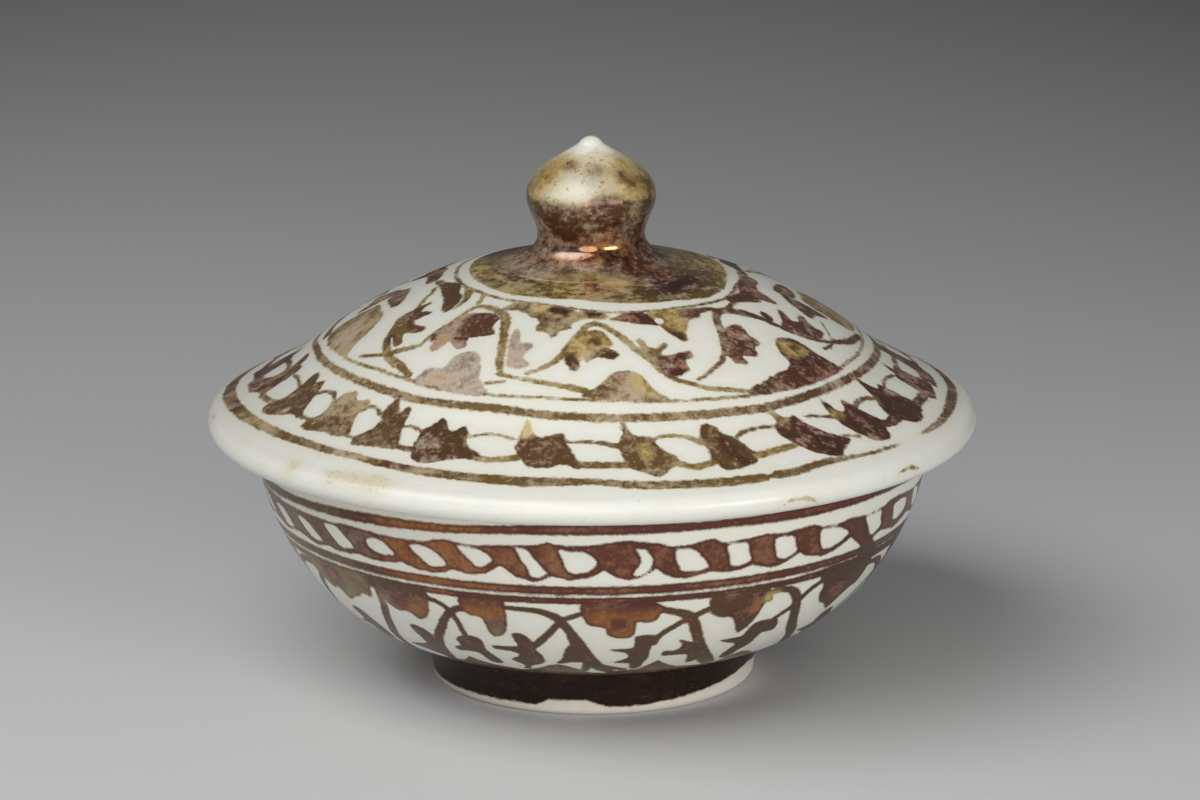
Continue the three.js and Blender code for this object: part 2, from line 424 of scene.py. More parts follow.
# Leaves that hang from the upper line, as outline, tone and thickness of the paint
LID_HANGING = [
    ([(-86, 16.6), (-80, 15.8), (-74, 14.2), (-70, 13.8), (-66, 14.6), (-62, 16), (-58, 16.6), (-54.6, 19),
      (-53.4, 22.4), (-55, 23), (-57.4, 22.4), (-60, 21), (-63, 19.8), (-67, 19), (-72, 18.2), (-78, 17.8),
      (-86, 18.2)], BROWN, 1),
    ([(-65, 13.6), (-61, 13.2), (-58, 13.6), (-55, 15), (-53, 16.6), (-52, 19), (-52.6, 21.4), (-54, 19),
      (-56, 17), (-60, 15.6)], UMBER, 0.75),
    ([(-32, 15), (-29, 14.4), (-24, 14.2), (-18, 14.2), (-12, 14.8), (-8, 15.4), (-4, 17.6), (-5, 20),
      (-6.4, 21.4), (-6.6, 22.6), (-10, 24), (-10.6, 25.6), (-12, 26), (-13, 24.8), (-17, 24.2),
      (-17.8, 23), (-17.4, 21.4), (-18.4, 20.2), (-21, 19.6), (-27, 17.6), (-34.6, 18)], UMBER, 0.75),
    ([(-5, 16.8), (0, 16.6), (4, 17.2), (6.4, 18.2), (4, 19.6), (0, 19.2), (-3, 19.4), (-6.4, 20.8)], OLIVE,
      0.6),
    ([(6, 19.8), (8, 18.8), (10.6, 17.8), (14, 17.3), (18, 17.6), (20.6, 18.8), (22, 22.6), (18, 22.2),
      (14, 21.4), (10, 20.4)], PURPLE, 1.05),
    ([(20, 17.8), (31, 17.8), (40, 18.6), (39.6, 20), (38.4, 21.4), (37, 22), (33.6, 22.2), (31.6, 23.6),
      (30, 25), (28.6, 26.4), (28, 28.4), (26.4, 28.8), (25, 27.6), (23.6, 26), (21.6, 22)], OLIVE, 0.6),
    ([(58, 18), (64, 18.2), (69, 18.2), (74, 16.6), (80, 16.4), (92, 17), (92, 20), (86, 20.2), (81, 20.4),
      (78.4, 21.4), (76, 24.8), (75, 26), (73.4, 25.8), (71, 23), (69, 23.4), (66, 22.6), (62, 21.2),
      (57, 20)], PURPLE, 1),
]

# Leaves on the winding stem
LID_LEAVES = [
    ([(-92, 24), (-84, 24.6), (-80, 26), (-78.6, 27.6), (-81, 28.8), (-91, 28.8)], BROWN, 0.95),
    ([(-68, 26), (-67.4, 23.6), (-66.6, 22), (-65.2, 22.2), (-64.8, 24), (-63.6, 25.2), (-61.6, 24.4),
      (-58.8, 24.4), (-60.4, 27), (-60, 28.6), (-54, 28.6), (-53, 29.6), (-54, 31), (-56.4, 31.6),
      (-58, 32.4), (-55, 34.6), (-55.6, 36), (-58, 35.6), (-62, 33.4), (-64, 33), (-66, 31), (-68.6, 28)],
      UMBER, 0.75),
    ([(-44, 21), (-41, 20.4), (-38.6, 19.8), (-35, 19.8), (-32, 21), (-32, 24), (-30.4, 25.4),
      (-29.4, 26.6), (-33, 28), (-36, 28.8), (-35, 31.6), (-37, 32.6), (-39, 31.8), (-41, 31), (-42, 33),
      (-43, 34.6), (-45, 34.2), (-45.6, 32.4), (-47.2, 32), (-48.4, 30.6), (-48, 28.6), (-46.6, 26),
      (-46, 23)], PURPLE, 0.5),
    ([(-24, 24.4), (-22.6, 24.4), (-21, 26), (-20.6, 28), (-17, 28.2), (-16.2, 29.4), (-17.2, 31.4),
      (-17.4, 33), (-15.2, 35), (-18, 36.2), (-20.6, 36), (-21.6, 34), (-23.6, 28)], PURPLE, 0.32),
    ([(-5, 27), (-4, 25), (-2, 24), (0, 23.2), (2.8, 23.4), (4.6, 24.8), (5.8, 28.4), (4, 28.8),
      (6.6, 30.6), (6.8, 32), (5, 32.8), (2.6, 32.2), (0.4, 32.6), (-1, 33.6), (-2, 33), (-2.6, 31),
      (-3, 35), (-4, 36.2), (-5.6, 35.2), (-6.8, 33.4), (-7.4, 31), (-6.4, 29)], OLIVE, 0.55),
    ([(12.8, 28), (13.4, 26.6), (14.4, 27), (15.4, 29), (17.4, 30), (20, 28.6), (21, 28.8), (20.8, 30),
      (18, 32), (20, 32.4), (25.6, 31.8), (26.6, 32.4), (26, 34), (24, 34.4), (23.4, 37.4), (21.6, 38.4),
      (19.6, 38.8), (17.8, 37.6), (16.4, 36), (15.6, 33.6), (14, 31)], UMBER, 0.65),
    ([(40.6, 27.2), (46, 26.4), (47.8, 26.8), (48.2, 28), (47.2, 30.6), (48, 32.4), (47.8, 33.6),
      (44.8, 34.4), (44.4, 36), (42.6, 36.8), (39.6, 35.8), (39.4, 37.4), (38.6, 38.2), (36.6, 37.6),
      (35.6, 36.4), (35.6, 35), (37, 33), (39.6, 29)], PURPLE, 0.95),
    ([(59, 29), (60.6, 26.6), (61.6, 25.6), (63, 25.4), (63.4, 26.6), (62.6, 28.4), (61, 29.2)], BROWN, 1),
    ([(61, 31.6), (66, 29.4), (68.4, 27.8), (70.6, 27.2), (71, 28.2), (69, 31), (70.6, 32.2), (73, 31.4),
      (75.4, 31.2), (76, 32.2), (74.4, 33.6), (73.6, 35.4), (74.4, 36.8), (73, 38), (70, 38.6), (67, 37.4),
      (63.4, 33.4)], PURPLE, 0.9),
    ([(88, 24.4), (86, 25.6), (82, 27.4), (80, 30), (78, 32.6), (79, 34), (83, 34.4), (87, 36.6)], BROWN,
      1),
]

# Half leaves that rise from the lower line
LID_MOUNDS = [
    ([(-90, 31.8), (-82, 31), (-79, 30.8), (-76, 31.6), (-73.4, 34), (-71.4, 37), (-70.6, 40),
      (-70.2, 43.6), (-90, 43.6)], UMBER, 0.5),
    ([(-41.4, 43.8), (-41, 41), (-40, 39.4), (-36.4, 38.4), (-36.2, 36), (-35.2, 34), (-33, 32.8),
      (-31, 32.6), (-29, 33.8), (-27.8, 35.6), (-26, 40), (-23, 44.4), (-36, 44.4)], PURPLE, 0.32),
    ([(-1.6, 43.6), (-1.4, 42), (1, 40.8), (3, 38.6), (5, 37), (7, 36.2), (9, 36.2), (11, 37.4),
      (12.6, 39.4), (13.4, 41.6), (16.4, 45.6), (10, 44.8), (4, 44.4)], BROWN, 0.55),
    ([(34.6, 46.6), (35.6, 44.6), (39, 43.6), (43, 42.6), (50, 41.2), (50.6, 38.4), (51.2, 36.4),
      (53, 34.4), (55, 33.6), (57.6, 34), (59.8, 35.6), (61, 38), (61.6, 41), (63.8, 45.4), (63, 47),
      (46, 47.2)], PURPLE, 1),
]

# The winding stem, stroke by stroke, with its width at each point
LID_STEMS = [
    ([(-78, 18.8), (-74, 20), (-72, 22), (-67, 25)], 1.2, SEPIA, 0.6),
    ([(-68, 29), (-65, 31.6), (-62, 34.6), (-59, 36.6), (-56, 38.4), (-52, 39.8), (-48, 40.6), (-44, 42)],
      [1.4, 1.6, 1.8, 2, 2.2, 2, 2, 1.6], SEPIA, 0.75),
    ([(-63.6, 41.6), (-60, 40.4), (-56.6, 39), (-54, 37.4), (-51, 35.4), (-48.6, 33.6), (-48.6, 30),
      (-47.6, 27), (-46.6, 24), (-46, 20), (-44, 18.4), (-40, 18), (-36, 18.4), (-32, 19.6), (-29.6, 21),
      (-27.6, 24), (-25.6, 28), (-24, 32), (-22.6, 36), (-21.4, 38)], [0.8, 1.2, 1.4, 1.6, 1.6, 1.2, 0.9,
      1.1, 1.2, 1.2, 1.4, 1.6, 1.8, 2, 2.4, 2, 2, 1.8, 1.6, 1.2], SEPIA, 0.7),
    ([(-50, 14), (-47.6, 15.6), (-46, 17.8)], 1.2, SEPIA, 0.45),
    ([(-22, 38), (-18, 38.8), (-13, 39.4), (-8, 40.2), (-4, 41), (-1, 42)], [1.4, 0.9, 1, 1.5, 1.7, 1.4],
      SEPIA, 0.6),
    ([(-24, 41), (-22, 40.6), (-20, 40)], 0.8, SEPIA, 0.7),
    ([(-15.4, 37.4), (-12, 35.6), (-9, 33.2), (-7, 30), (-5.4, 27), (-3.4, 24.2), (-1.6, 22), (0.4, 21.2),
      (3, 21.4), (5.4, 22.8), (8, 25), (10, 27.4), (12.4, 30.4), (15, 33.6), (16.8, 37), (19, 39.4),
      (22, 41), (25, 42.6), (30, 44), (35, 45.4)], [0.8, 1.2, 1.4, 1.6, 1.6, 1.6, 1.7, 1.8, 1.8, 1.6, 1.8,
      1.8, 1.8, 1.6, 1.4, 1.6, 1.4, 1.2, 1.2, 1.2], SEPIA, 0.65),
    ([(24.4, 40.4), (27, 39.2), (30, 37.6), (33, 36), (35, 34), (37.6, 31), (39.6, 28), (41.4, 25),
      (43.6, 22.8), (46.4, 21.6), (49.6, 21.6), (52.4, 22.6), (55, 24), (57.4, 25.8), (59, 28), (60.8, 31),
      (63, 34), (66, 37), (70, 39.6), (74, 41), (78, 42.6), (84, 44), (90, 45)], [0.8, 0.9, 1, 1.2, 1.5,
      1.8, 1.9, 1.9, 1.9, 2, 2.2, 2.6, 2.8, 2.2, 1.6, 1.5, 1.6, 1.3, 1.2, 1.5, 2, 2, 1.6], UMBER, 0.95),
    ([(33, 20), (38, 19.6), (43, 19.8), (46.5, 20.6), (50, 21.4)], [2.6, 2.4, 1.5, 1.5, 1.6], BROWN, 0.95),
    ([(52, 21.2), (56, 20.4), (60, 20.2)], 1.3, UMBER, 0.95),
    ([(66, 40.6), (69, 41), (72, 40.4), (75, 39), (80, 36)], [0.8, 1, 0.8, 0.6, 0.5], UMBER, 0.8),
]

# Darker and paler touches inside those leaves
LID_TOUCHES = [
    ([(-68, 25), (-66, 24), (-61, 24), (-59, 25), (-60, 29), (-53, 29), (-55, 31), (-62, 30), (-67, 29)],
      BROWN, 1),
    ([(-62, 34), (-60.6, 33.6), (-58.6, 35), (-60, 36)], BROWN, 1.3),
    ([(-43, 22), (-41, 20), (-35, 19), (-31, 21), (-28, 26.6), (-34, 28.4), (-38, 30), (-41, 30),
      (-43, 27)], BROWN + 0.12, 0.92),
    ([(-48.4, 30), (-47, 29.4), (-46, 30.6), (-47, 32)], BROWN, 1),
    ([(-24, 14), (-16, 14.4), (-17, 17), (-23, 17)], OLIVE, 0.35),
    ([(-19, 18.4), (-12, 19), (-8, 18), (-12, 21), (-17, 20)], BROWN, 1),
    ([(-16, 15), (-9, 16), (-9, 18), (-16, 17)], BROWN, 1.2),
    ([(-8, 17), (-3, 17), (-5, 21), (-8, 21)], UMBER, 0.4),
    ([(-2, 16.8), (4, 17), (4, 18.6), (-1, 18.6)], BROWN, 1.2),
    ([(-7, 32), (-5, 31), (-2.6, 34), (-4, 37), (-7, 35)], BROWN, 1.05),
    ([(0, 31.4), (2.6, 29.4), (6, 29.6), (7.4, 32), (5, 33.4), (-1, 34)], BROWN, 1.05),
    ([(-0.6, 26.4), (1.4, 25.8), (2.8, 27.6), (0.4, 28.4)], BROWN, 0.9),
    ([(16.6, 34), (18, 32.4), (22, 32.2), (27, 31.4), (24, 35), (23, 38), (19.6, 39.4), (16.8, 37)], PURPLE,
      1),
    ([(18.4, 35.4), (19.2, 34.8), (20, 35.6), (19.2, 36.2)], PURPLE, 0.2),
    ([(22, 23), (24, 24.4), (27.6, 26), (27, 28.4), (25, 28)], BROWN, 1.1),
    ([(32, 19), (40, 19), (38, 22), (33, 22)], BROWN, 1),
    ([(9, 36.4), (11, 37.2), (13.4, 41), (14, 44), (9, 42)], OLIVE, 0.6),
    ([(43.4, 30), (46, 29.6), (48, 32), (47, 34), (43.4, 35)], PURPLE, 0.55),
    ([(52, 35), (55, 34.6), (58.6, 36), (60, 39.6), (55, 40), (51.6, 38)], OLIVE, 0.5),
    ([(55.6, 36.4), (58, 36.8), (57.4, 38.4), (55.4, 38)], UMBER, 1.1),
    ([(36, 44), (44, 43), (46, 46.4), (37, 47)], BROWN, 1.05),
    ([(69, 34), (74, 34), (74, 39), (68, 38.6)], PURPLE, 0.6),
    ([(-86, 36), (-76, 37), (-74, 43), (-86, 43)], BROWN, 0.35),
]

# Saw-edged leaves of the border
LID_BORDER = [
    ([(-88, 50), (-86, 49.3), (-84.2, 50.4), (-83.6, 51.8), (-81.2, 51.8), (-80.4, 53.6), (-80.4, 58),
      (-79.6, 61.4), (-80.6, 62.4), (-83, 62.8), (-85.4, 64.4), (-92, 65), (-92.4, 64), (-90.6, 61.4),
      (-88, 59.4), (-86.6, 56.4), (-86.8, 53)], RUSSET, 0.95),
    ([(-72.6, 51), (-71.6, 49.6), (-70.2, 50), (-69, 51.6), (-68, 51.2), (-66.4, 50.2), (-65.2, 51.6),
      (-64.2, 53.6), (-62.4, 58), (-60.6, 60.4), (-64, 61), (-66, 62.4), (-68.6, 63.6), (-71, 64.4),
      (-73, 63.8), (-73.6, 62.4), (-71.8, 58), (-72.4, 53)], RUSSET, 0.95),
    ([(-56.4, 51), (-54.4, 49.8), (-53, 50), (-51.8, 51.4), (-50.4, 51.2), (-49, 50.4), (-48, 51.2),
      (-47.8, 52.6), (-48.4, 55), (-46.2, 59.8), (-46.4, 60.8), (-48, 62), (-52, 62), (-56.4, 63),
      (-58, 62.4), (-58, 60.4), (-56.8, 58), (-57, 53)], RUSSET, 0.9),
    ([(-43.2, 52), (-42.4, 48.8), (-41.4, 48.4), (-40.4, 50.6), (-39.6, 52.2), (-38.6, 50.2), (-37.4, 50.4),
      (-36.8, 52.6), (-36.6, 55), (-34.4, 61), (-36, 62), (-38.6, 62.2), (-43, 63), (-44.2, 62),
      (-44.4, 60.4), (-42.6, 58), (-42.2, 55.4)], RUSSET, 1),
    ([(-32, 55), (-31, 53.6), (-29.6, 51.2), (-28.4, 52), (-27, 54), (-25.6, 54.2), (-24.6, 52.8),
      (-23.4, 53.4), (-22, 58), (-19, 60.2), (-20, 62), (-22.6, 62), (-27, 64.2), (-28.8, 64.6),
      (-30.4, 63.8), (-31.4, 61.8), (-32, 59)], BROWN, 1.05),
    ([(-13, 53), (-12.8, 50.2), (-12.2, 50), (-11.2, 52), (-10.4, 54), (-8.4, 54), (-5.6, 52.9), (-4.9, 54),
      (-4.4, 56), (-2.6, 60), (-2, 61.4), (-2, 63.4), (-3.6, 62.6), (-5, 62), (-7, 63), (-10, 63.2),
      (-11.2, 62), (-13.4, 58), (-13.2, 55.6)], BROWN, 0.95),
    ([(4.6, 57), (4.8, 55.4), (5.6, 53), (5.4, 51), (6, 50), (6.6, 51.4), (8, 54), (9.4, 54), (10.8, 54.6),
      (12.4, 58.4), (14.4, 60.6), (14.4, 62.6), (12.8, 64), (11.6, 65.6), (10.4, 66.1), (9.2, 65.4),
      (6, 63), (5.4, 61)], RUSSET, 0.9),
    ([(19.8, 55.4), (20.4, 53), (21.2, 52.1), (22.6, 52.1), (23.6, 53.4), (24.4, 55.4), (26, 56.4),
      (28, 61.6), (27.6, 64), (26, 65.2), (22, 65.9), (21, 64.6), (20, 62), (20.2, 59)], RUSSET, 1),
    ([(34.8, 57), (35, 55.4), (36.2, 54), (36, 51.6), (37, 51.6), (38.8, 53.6), (40.6, 53.4), (41.4, 55),
      (43.6, 59), (46.8, 62.4), (47.4, 63.6), (44, 66), (42.6, 67.6), (41, 66.6), (39.2, 65.2),
      (37.6, 63.2), (35.2, 59)], BROWN, 1.1),
    ([(49, 58), (49, 55.6), (49.2, 53), (50, 51.4), (50.8, 52.8), (51.2, 54.6), (52.4, 56), (53.6, 55.2),
      (54.4, 53.4), (55.4, 53.6), (56.2, 55.6), (58.6, 61.6), (57.6, 63), (56, 66.2), (54.4, 66.8),
      (52.6, 66.2), (51.2, 64.8), (49.4, 60.4)], BROWN, 1.1),
    ([(62.6, 58), (64, 56), (64.6, 53), (65, 50.6), (66, 50.2), (66.6, 52), (67.8, 54), (69, 54.4),
      (70.4, 53.8), (71.8, 57), (72, 59), (73, 61.4), (73, 63.6), (70, 65), (69, 66), (66.4, 66.2),
      (64.6, 65.2), (62, 62.6), (61.8, 60.6)], BROWN, 1.1),
    ([(79.6, 56), (81, 54.6), (81.6, 52.6), (82.4, 51.6), (83, 53), (83.6, 54.6), (85, 54.2), (86, 55.2),
      (87, 59.4), (88.4, 61.6), (88, 63.4), (82.6, 64.8), (80.4, 65.4), (79.2, 63.8), (79.4, 60)], BROWN,
      1.1),
]

# Arches above and links below, from leaf to leaf of the border
LID_ARCHES = [
    ([(-80, 54), (-76, 53.8), (-72, 54.6)], 0.9, UMBER, 0.8),
    ([(-79.6, 62), (-76, 61.6), (-73, 61)], 1.6, UMBER, 0.65),
    ([(-63.6, 53.4), (-62, 52.2), (-59.6, 52), (-57.4, 53.4), (-56.6, 55)], 1.2, UMBER, 0.95),
    ([(-62, 60.4), (-59.6, 60.2), (-57.6, 60)], 1.2, UMBER, 0.95),
    ([(-48.2, 53.6), (-47, 52), (-45, 52.2), (-43.4, 53.4)], 1.1, UMBER, 0.85),
    ([(-47, 61), (-44, 61)], 0.8, UMBER, 0.8),
    ([(-36.4, 55.4), (-34.6, 54.8), (-31.8, 55.8)], 0.9, UMBER, 0.85),
    ([(-36, 60.6), (-33.6, 61), (-31.6, 61)], 1.6, BROWN, 0.95),
    ([(-22.4, 55.6), (-20, 54.4), (-17, 54.2), (-14, 55.2)], 0.7, SEPIA, 0.55),
    ([(-21, 61), (-18, 61.6), (-15, 61), (-12.6, 60.4)], 1.8, SEPIA, 0.7),
    ([(-4.2, 55.6), (-1, 55.3), (2, 55.8), (4.6, 56.6)], [0.7, 0.9, 1.2, 1.6], UMBER, 0.8),
    ([(-2.4, 62), (1, 62.1), (5.4, 62.2)], 2, UMBER, 0.8),
    ([(11, 55.2), (13, 54.4), (15.6, 54.5), (18, 55.6), (19.6, 57.4)], [0.8, 1, 1, 1.3, 1.5], SEPIA, 0.6),
    ([(13.6, 62), (16, 63.6), (18, 63.8), (20.2, 62.8)], 1.9, SEPIA, 0.65),
    ([(26.2, 56.8), (28, 55.6), (30.4, 55), (33, 55), (35.4, 55.4)], 1.1, UMBER, 0.9),
    ([(28, 62.6), (30, 62.2), (33, 61.8), (36, 61.4)], [2, 2, 1.8, 1.6], SEPIA, 0.55),
    ([(43, 54.5), (44.6, 54.7), (46.6, 55.6), (48.8, 56.4)], [0.9, 0.9, 0.9, 1.4], UMBER, 0.9),
    ([(47, 62), (49.8, 63.4)], 0.9, SEPIA, 0.5),
    ([(56.2, 56), (58, 55.2), (60, 54.9), (62.4, 55.4), (64, 56.4)], 1.3, SEPIA, 0.85),
    ([(57.6, 62.4), (60, 63), (62.6, 62.4)], [2.6, 2.4, 2.8], BROWN, 1),
    ([(71, 55), (73.6, 54.2), (76, 54.2), (79.6, 55)], 0.9, UMBER, 0.95),
    ([(72.6, 62.6), (76, 62.6), (80, 62.6)], 2.4, BROWN, 1),
    ([(86.4, 55.4), (90, 54.6), (94, 55)], 1.5, UMBER, 0.95),
    ([(88, 62.2), (91, 61.8), (94, 62.4)], 2, BROWN, 1),
]

# Darker and paler touches in the border and on the line at the rim
BORDER_TOUCHES = [
    ([(-67.6, 61.6), (-66.4, 59.4), (-65.6, 60.6), (-66.4, 62)], UMBER, 0.2),
    ([(-57, 51), (-53, 49.4), (-48, 50), (-49, 55), (-52, 57), (-57, 57)], UMBER, 0.5),
    ([(-90, 60), (-84, 56), (-80, 58), (-80, 63), (-86, 64), (-91, 64)], PURPLE, 0.95),
    ([(-13.6, 50), (-11.4, 50), (-10.4, 53.6), (-12.6, 55)], OLIVE, 0.3),
    ([(8, 57), (10, 56.6), (10.4, 61), (8.6, 61)], OLIVE, 0.5),
    ([(12.4, 60), (15, 60), (14.6, 63.6), (12.4, 64)], UMBER, 0.5),
    ([(36, 51), (39, 52.6), (38, 56), (35.6, 55)], UMBER, 0.6),
    ([(40, 60), (44, 61), (44, 66), (41, 66)], BROWN, 1.25),
    ([(48.6, 54), (52, 55), (51.6, 57.4), (49, 57)], OLIVE, 0.8),
    ([(62, 55), (64.6, 55), (64, 58), (62, 57.6)], OLIVE, 0.75),
    ([(52.6, 58), (54, 56), (55, 58), (54.6, 62), (53, 61)], PURPLE, 0.75),
    ([(22.6, 57), (24, 56), (25, 60), (26.4, 64), (24.4, 65)], PURPLE, 1),
    ([(23, 63.6), (24, 63.6), (23.8, 65), (23, 65)], BROWN, 0.2),
    ([(69.4, 56), (71, 55.6), (71, 58.4), (69.8, 58)], PURPLE, 0.35),
    ([(-86, 66), (-80, 65.4), (-79, 69.6), (-85, 70)], BROWN, 1),
    ([(-76, 65), (-63, 65), (-63, 69), (-76, 69)], SEPIA, 0.68),
    ([(-44.6, 64), (-39, 64), (-39, 68), (-44.6, 68)], BROWN, 0.5),
    ([(-35, 65), (-30, 65), (-30, 69), (-35, 69)], BROWN, 1),
]

# Wear on the rolled edge: patches that keep only a faint stain, and the edges of old chips
LID_WEAR = [
    [(-43, 71.6), (-40, 70.4), (-36, 70), (-33, 69.4), (-30.6, 71), (-31, 73.6), (-34, 75), (-38, 74),
     (-42, 74)],
    [(-51, 71.6), (-48.6, 71.4), (-48.4, 74), (-50.6, 74.6)],
    [(-88, 73.6), (-84, 73.2), (-80, 73.8), (-83, 75)],
]
LID_CHIPS = [
    ([(28, 76.8), (29.4, 76), (31, 75.8), (32.8, 76.4), (34, 77.4)], [0.3, 0.6, 0.7, 0.5, 0.3]),
    ([(50, 75.8), (52, 75.2), (54, 75.4), (55.4, 76.2)], [0.4, 0.7, 0.7, 0.4]),
    ([(-41.4, 74.5), (-39.2, 73.7), (-36.2, 74.1), (-34, 74.9)], [0.2, 0.4, 0.35, 0.2]),
    ([(-83, 73.4), (-81, 74)], 0.7),
]

# A bare spot in a hanging leaf, and a copper glint in the disc
LID_BARE_SPOT = [(21, 21.2), (22.4, 20.2), (24.4, 20.8), (23.8, 22), (22, 22.2)]
DISC_GLINT = [(-3, 4.6), (2, 4.6), (3, 8), (-1, 10)]

# Patches on the disc
DISC_PATCHES = [
    (-12, 1.8, 16, 1.3, BROWN, 0.9), (18, 4.6, 12, 2.8, OLIVE, 0.34), (-6, -0.6, 18, 1, OLIVE, 0.3),
    (-40, 6, 12, 1.2, BROWN, 0.9), (2, 9.6, 9, 1, UMBER, 0.95), (-58, 9.4, 12, 1.2, UMBER, 0.85),
    (-24, 9.8, 6, 1, UMBER, 0.85), (26, 0.2, 6, 1, COPPER, 0.7), (52, 9, 12, 1.6, PURPLE, 1.2),
]


def disc_paint_and_sheen(turn, along):
    """Tone and thickness of the disc round the knob: olive on the left, purple on the right, and mauve-brown
    close to the knob on the left, where that colour is a painted sheen standing for the key lamp's
    reflection.
    """
    seen = seen_turn(turn)
    purple = np.exp(-((seen - 46) / 25) ** 2) * np.clip((14.5 - along) / 3, 0.3, 1)
    left = np.clip(-seen / 50, 0, 1)
    # The last term turns the disc mauve-brown close to the knob on the left: a painted sheen where the key
    # lamp's reflection lies.
    tone = OLIVE + 0.06 + 0.68 * purple + 0.5 * left * np.clip((7 - along) / 4, 0, 1)
    body = 0.54 + 0.5 * purple - 0.06 * left
    return blend_patches(DISC_PATCHES, seen, along, tone, body)


def paint_lid(lid, points):
    brush = Painting(lid, points, LID_ZERO, LID_SLANT)
    turn, along = brush.turn, brush.along
    disc_edge = level(turn, DISC_EDGE)
    brush.band(-20, disc_edge, *disc_paint_and_sheen(turn, along))
    second_half = 0.9 + 0.2 * np.cos(np.radians(turn - 18))
    for middle, half, tone, body in (
        (UPPER_LINE, 0.45, UMBER, 0.8),
        (LOWER_LINE, 0.38, OLIVE + 0.1, 0.7),
        (SECOND_LINE, second_half, UMBER, 0.78),
        (RIM_LINE, level(turn, RIM_LINE_HALF), UMBER, 0.82),
    ):
        brush.ring(level(turn, middle), half, tone, body)
    for shift in HALVES:
        for shape, tone, body in LID_HANGING + LID_LEAVES + LID_MOUNDS + LID_BORDER:
            brush.leaf(shape, tone, body, shift)
        for stroke, width, tone, body in LID_STEMS + LID_ARCHES:
            brush.stroke(stroke, width, tone, body, shift)

    # The lustre is redder on the right.
    redder = np.clip((seen_turn(turn) - 30) / 30, 0, 0.6) * (along > disc_edge + 1)
    brush.tone += redder * np.clip(PURPLE - brush.tone, 0, 1)
    for shift in HALVES:
        for shape, tone, body in LID_TOUCHES + BORDER_TOUCHES:
            brush.touch(shape, tone, body, shift)
    brush.touch(DISC_GLINT, COPPER, 0.7)
    brush.window(LID_BARE_SPOT)
    for patch in LID_WEAR:
        chosen, distance = brush.outline_distance(patch)
        brush.lay(chosen, distance, OLIVE, np.clip(-distance / 12, 0, 0.09))
    for chip, widths in LID_CHIPS:
        brush.stroke(chip, widths, UMBER, 0.45)
    brush.shine = 0.5 * (along < disc_edge + 1)
    brush.finish()


# Bowl

def belly():
    start = np.array([FOOT_RADIUS, BOWL_BASE])
    end = np.array([BOWL_RADIUS, BOWL_TOP - BOWL_RIM_WALL / 2])
    start_handle = start + BELLY_BASE_PULL * np.array([math.cos(BELLY_BASE_RISE), math.sin(BELLY_BASE_RISE)])
    return bezier(start, start_handle, end - (0, BELLY_RIM_PULL), end, 200)


def bowl_outline():
    outside = belly()
    heading = np.gradient(outside, axis=0)
    heading /= np.hypot(*heading.T)[:, None]
    wall = np.linspace(BOWL_FLOOR, BOWL_RIM_WALL, len(outside))[:, None]
    inside = (outside + wall * np.stack([-heading[:, 1], heading[:, 0]], 1))[::-1]
    half = BOWL_RIM_WALL / 2
    rim = arc(BOWL_RADIUS - half, BOWL_TOP - half, half, 0, math.pi, 30)
    under = [(0, BOWL_BASE), (FOOT_RADIUS, BOWL_BASE)]
    floor = [inside[-1], (0, inside[-1][1])]
    return outline((under, FLAT), (outside, FINE), (rim, ROUNDED), (inside, COARSE), (floor, FLAT))


BOWL_ZERO = (BOWL_RADIUS, 54.3)

# How far down the paint starts, the two bands under the rope lie, the leaves start and the base paint ends
BOWL_PAINT_TOP = -2.2
UPPER_BAND = (16.25, 18.55)
LOWER_BAND_TOP, LOWER_BAND_BOTTOM = 19.2, 21.1
LEAVES_TOP = 22
BOWL_BARE_BASE = 62.5

# Tone and thickness of the leaves and stems, and how much heavier the stems are than their widths say
FOLIAGE = UMBER + 0.16
LEAF_BODY = 1.06
STEM_BODY = 1.04
STEM_WEIGHT = 1.4

# The line under the rim, the wavy edges of the rope band, and the scalloped top of the base paint
BOWL_RIM_LINE = [
    (-90, 7.05), (-62, 6.25), (-41, 5.1), (-24, 4.3), (-12, 3.25), (0, 2.9), (20, 3.15), (44, 3.6),
    (62, 3.85), (90, 4.85), (180, 5.35),
]
ROPE_TOP = [
    (-86, 8.4), (-74, 8), (-62, 8.4), (-54, 8.2), (-50, 8.2), (-46, 7.8), (-42, 7.8), (-38, 8.1),
    (-32, 8.1), (-29, 7.9), (-27, 7.1), (-25, 6.8), (-21, 7.4), (-18, 7.2), (-15, 6.9), (-10, 6.5),
    (-8.6, 6.2), (-7.4, 5.7), (-6, 6.2), (-4, 6.5), (-1, 6.4), (1, 6.1), (3, 5.8), (5, 5.4), (7, 5.5),
    (11, 6.3), (13, 7.2), (15, 7.2), (17, 6.9), (19, 6.3), (20.4, 6.1), (22, 7.4), (26, 7.2), (30, 6.7),
    (33, 7.2), (36, 7), (40, 6.7), (42, 7.8), (45, 8), (48, 7.7), (54, 8.2), (59, 7.8), (61, 7), (64, 7),
    (72, 8), (84, 7.6),
]
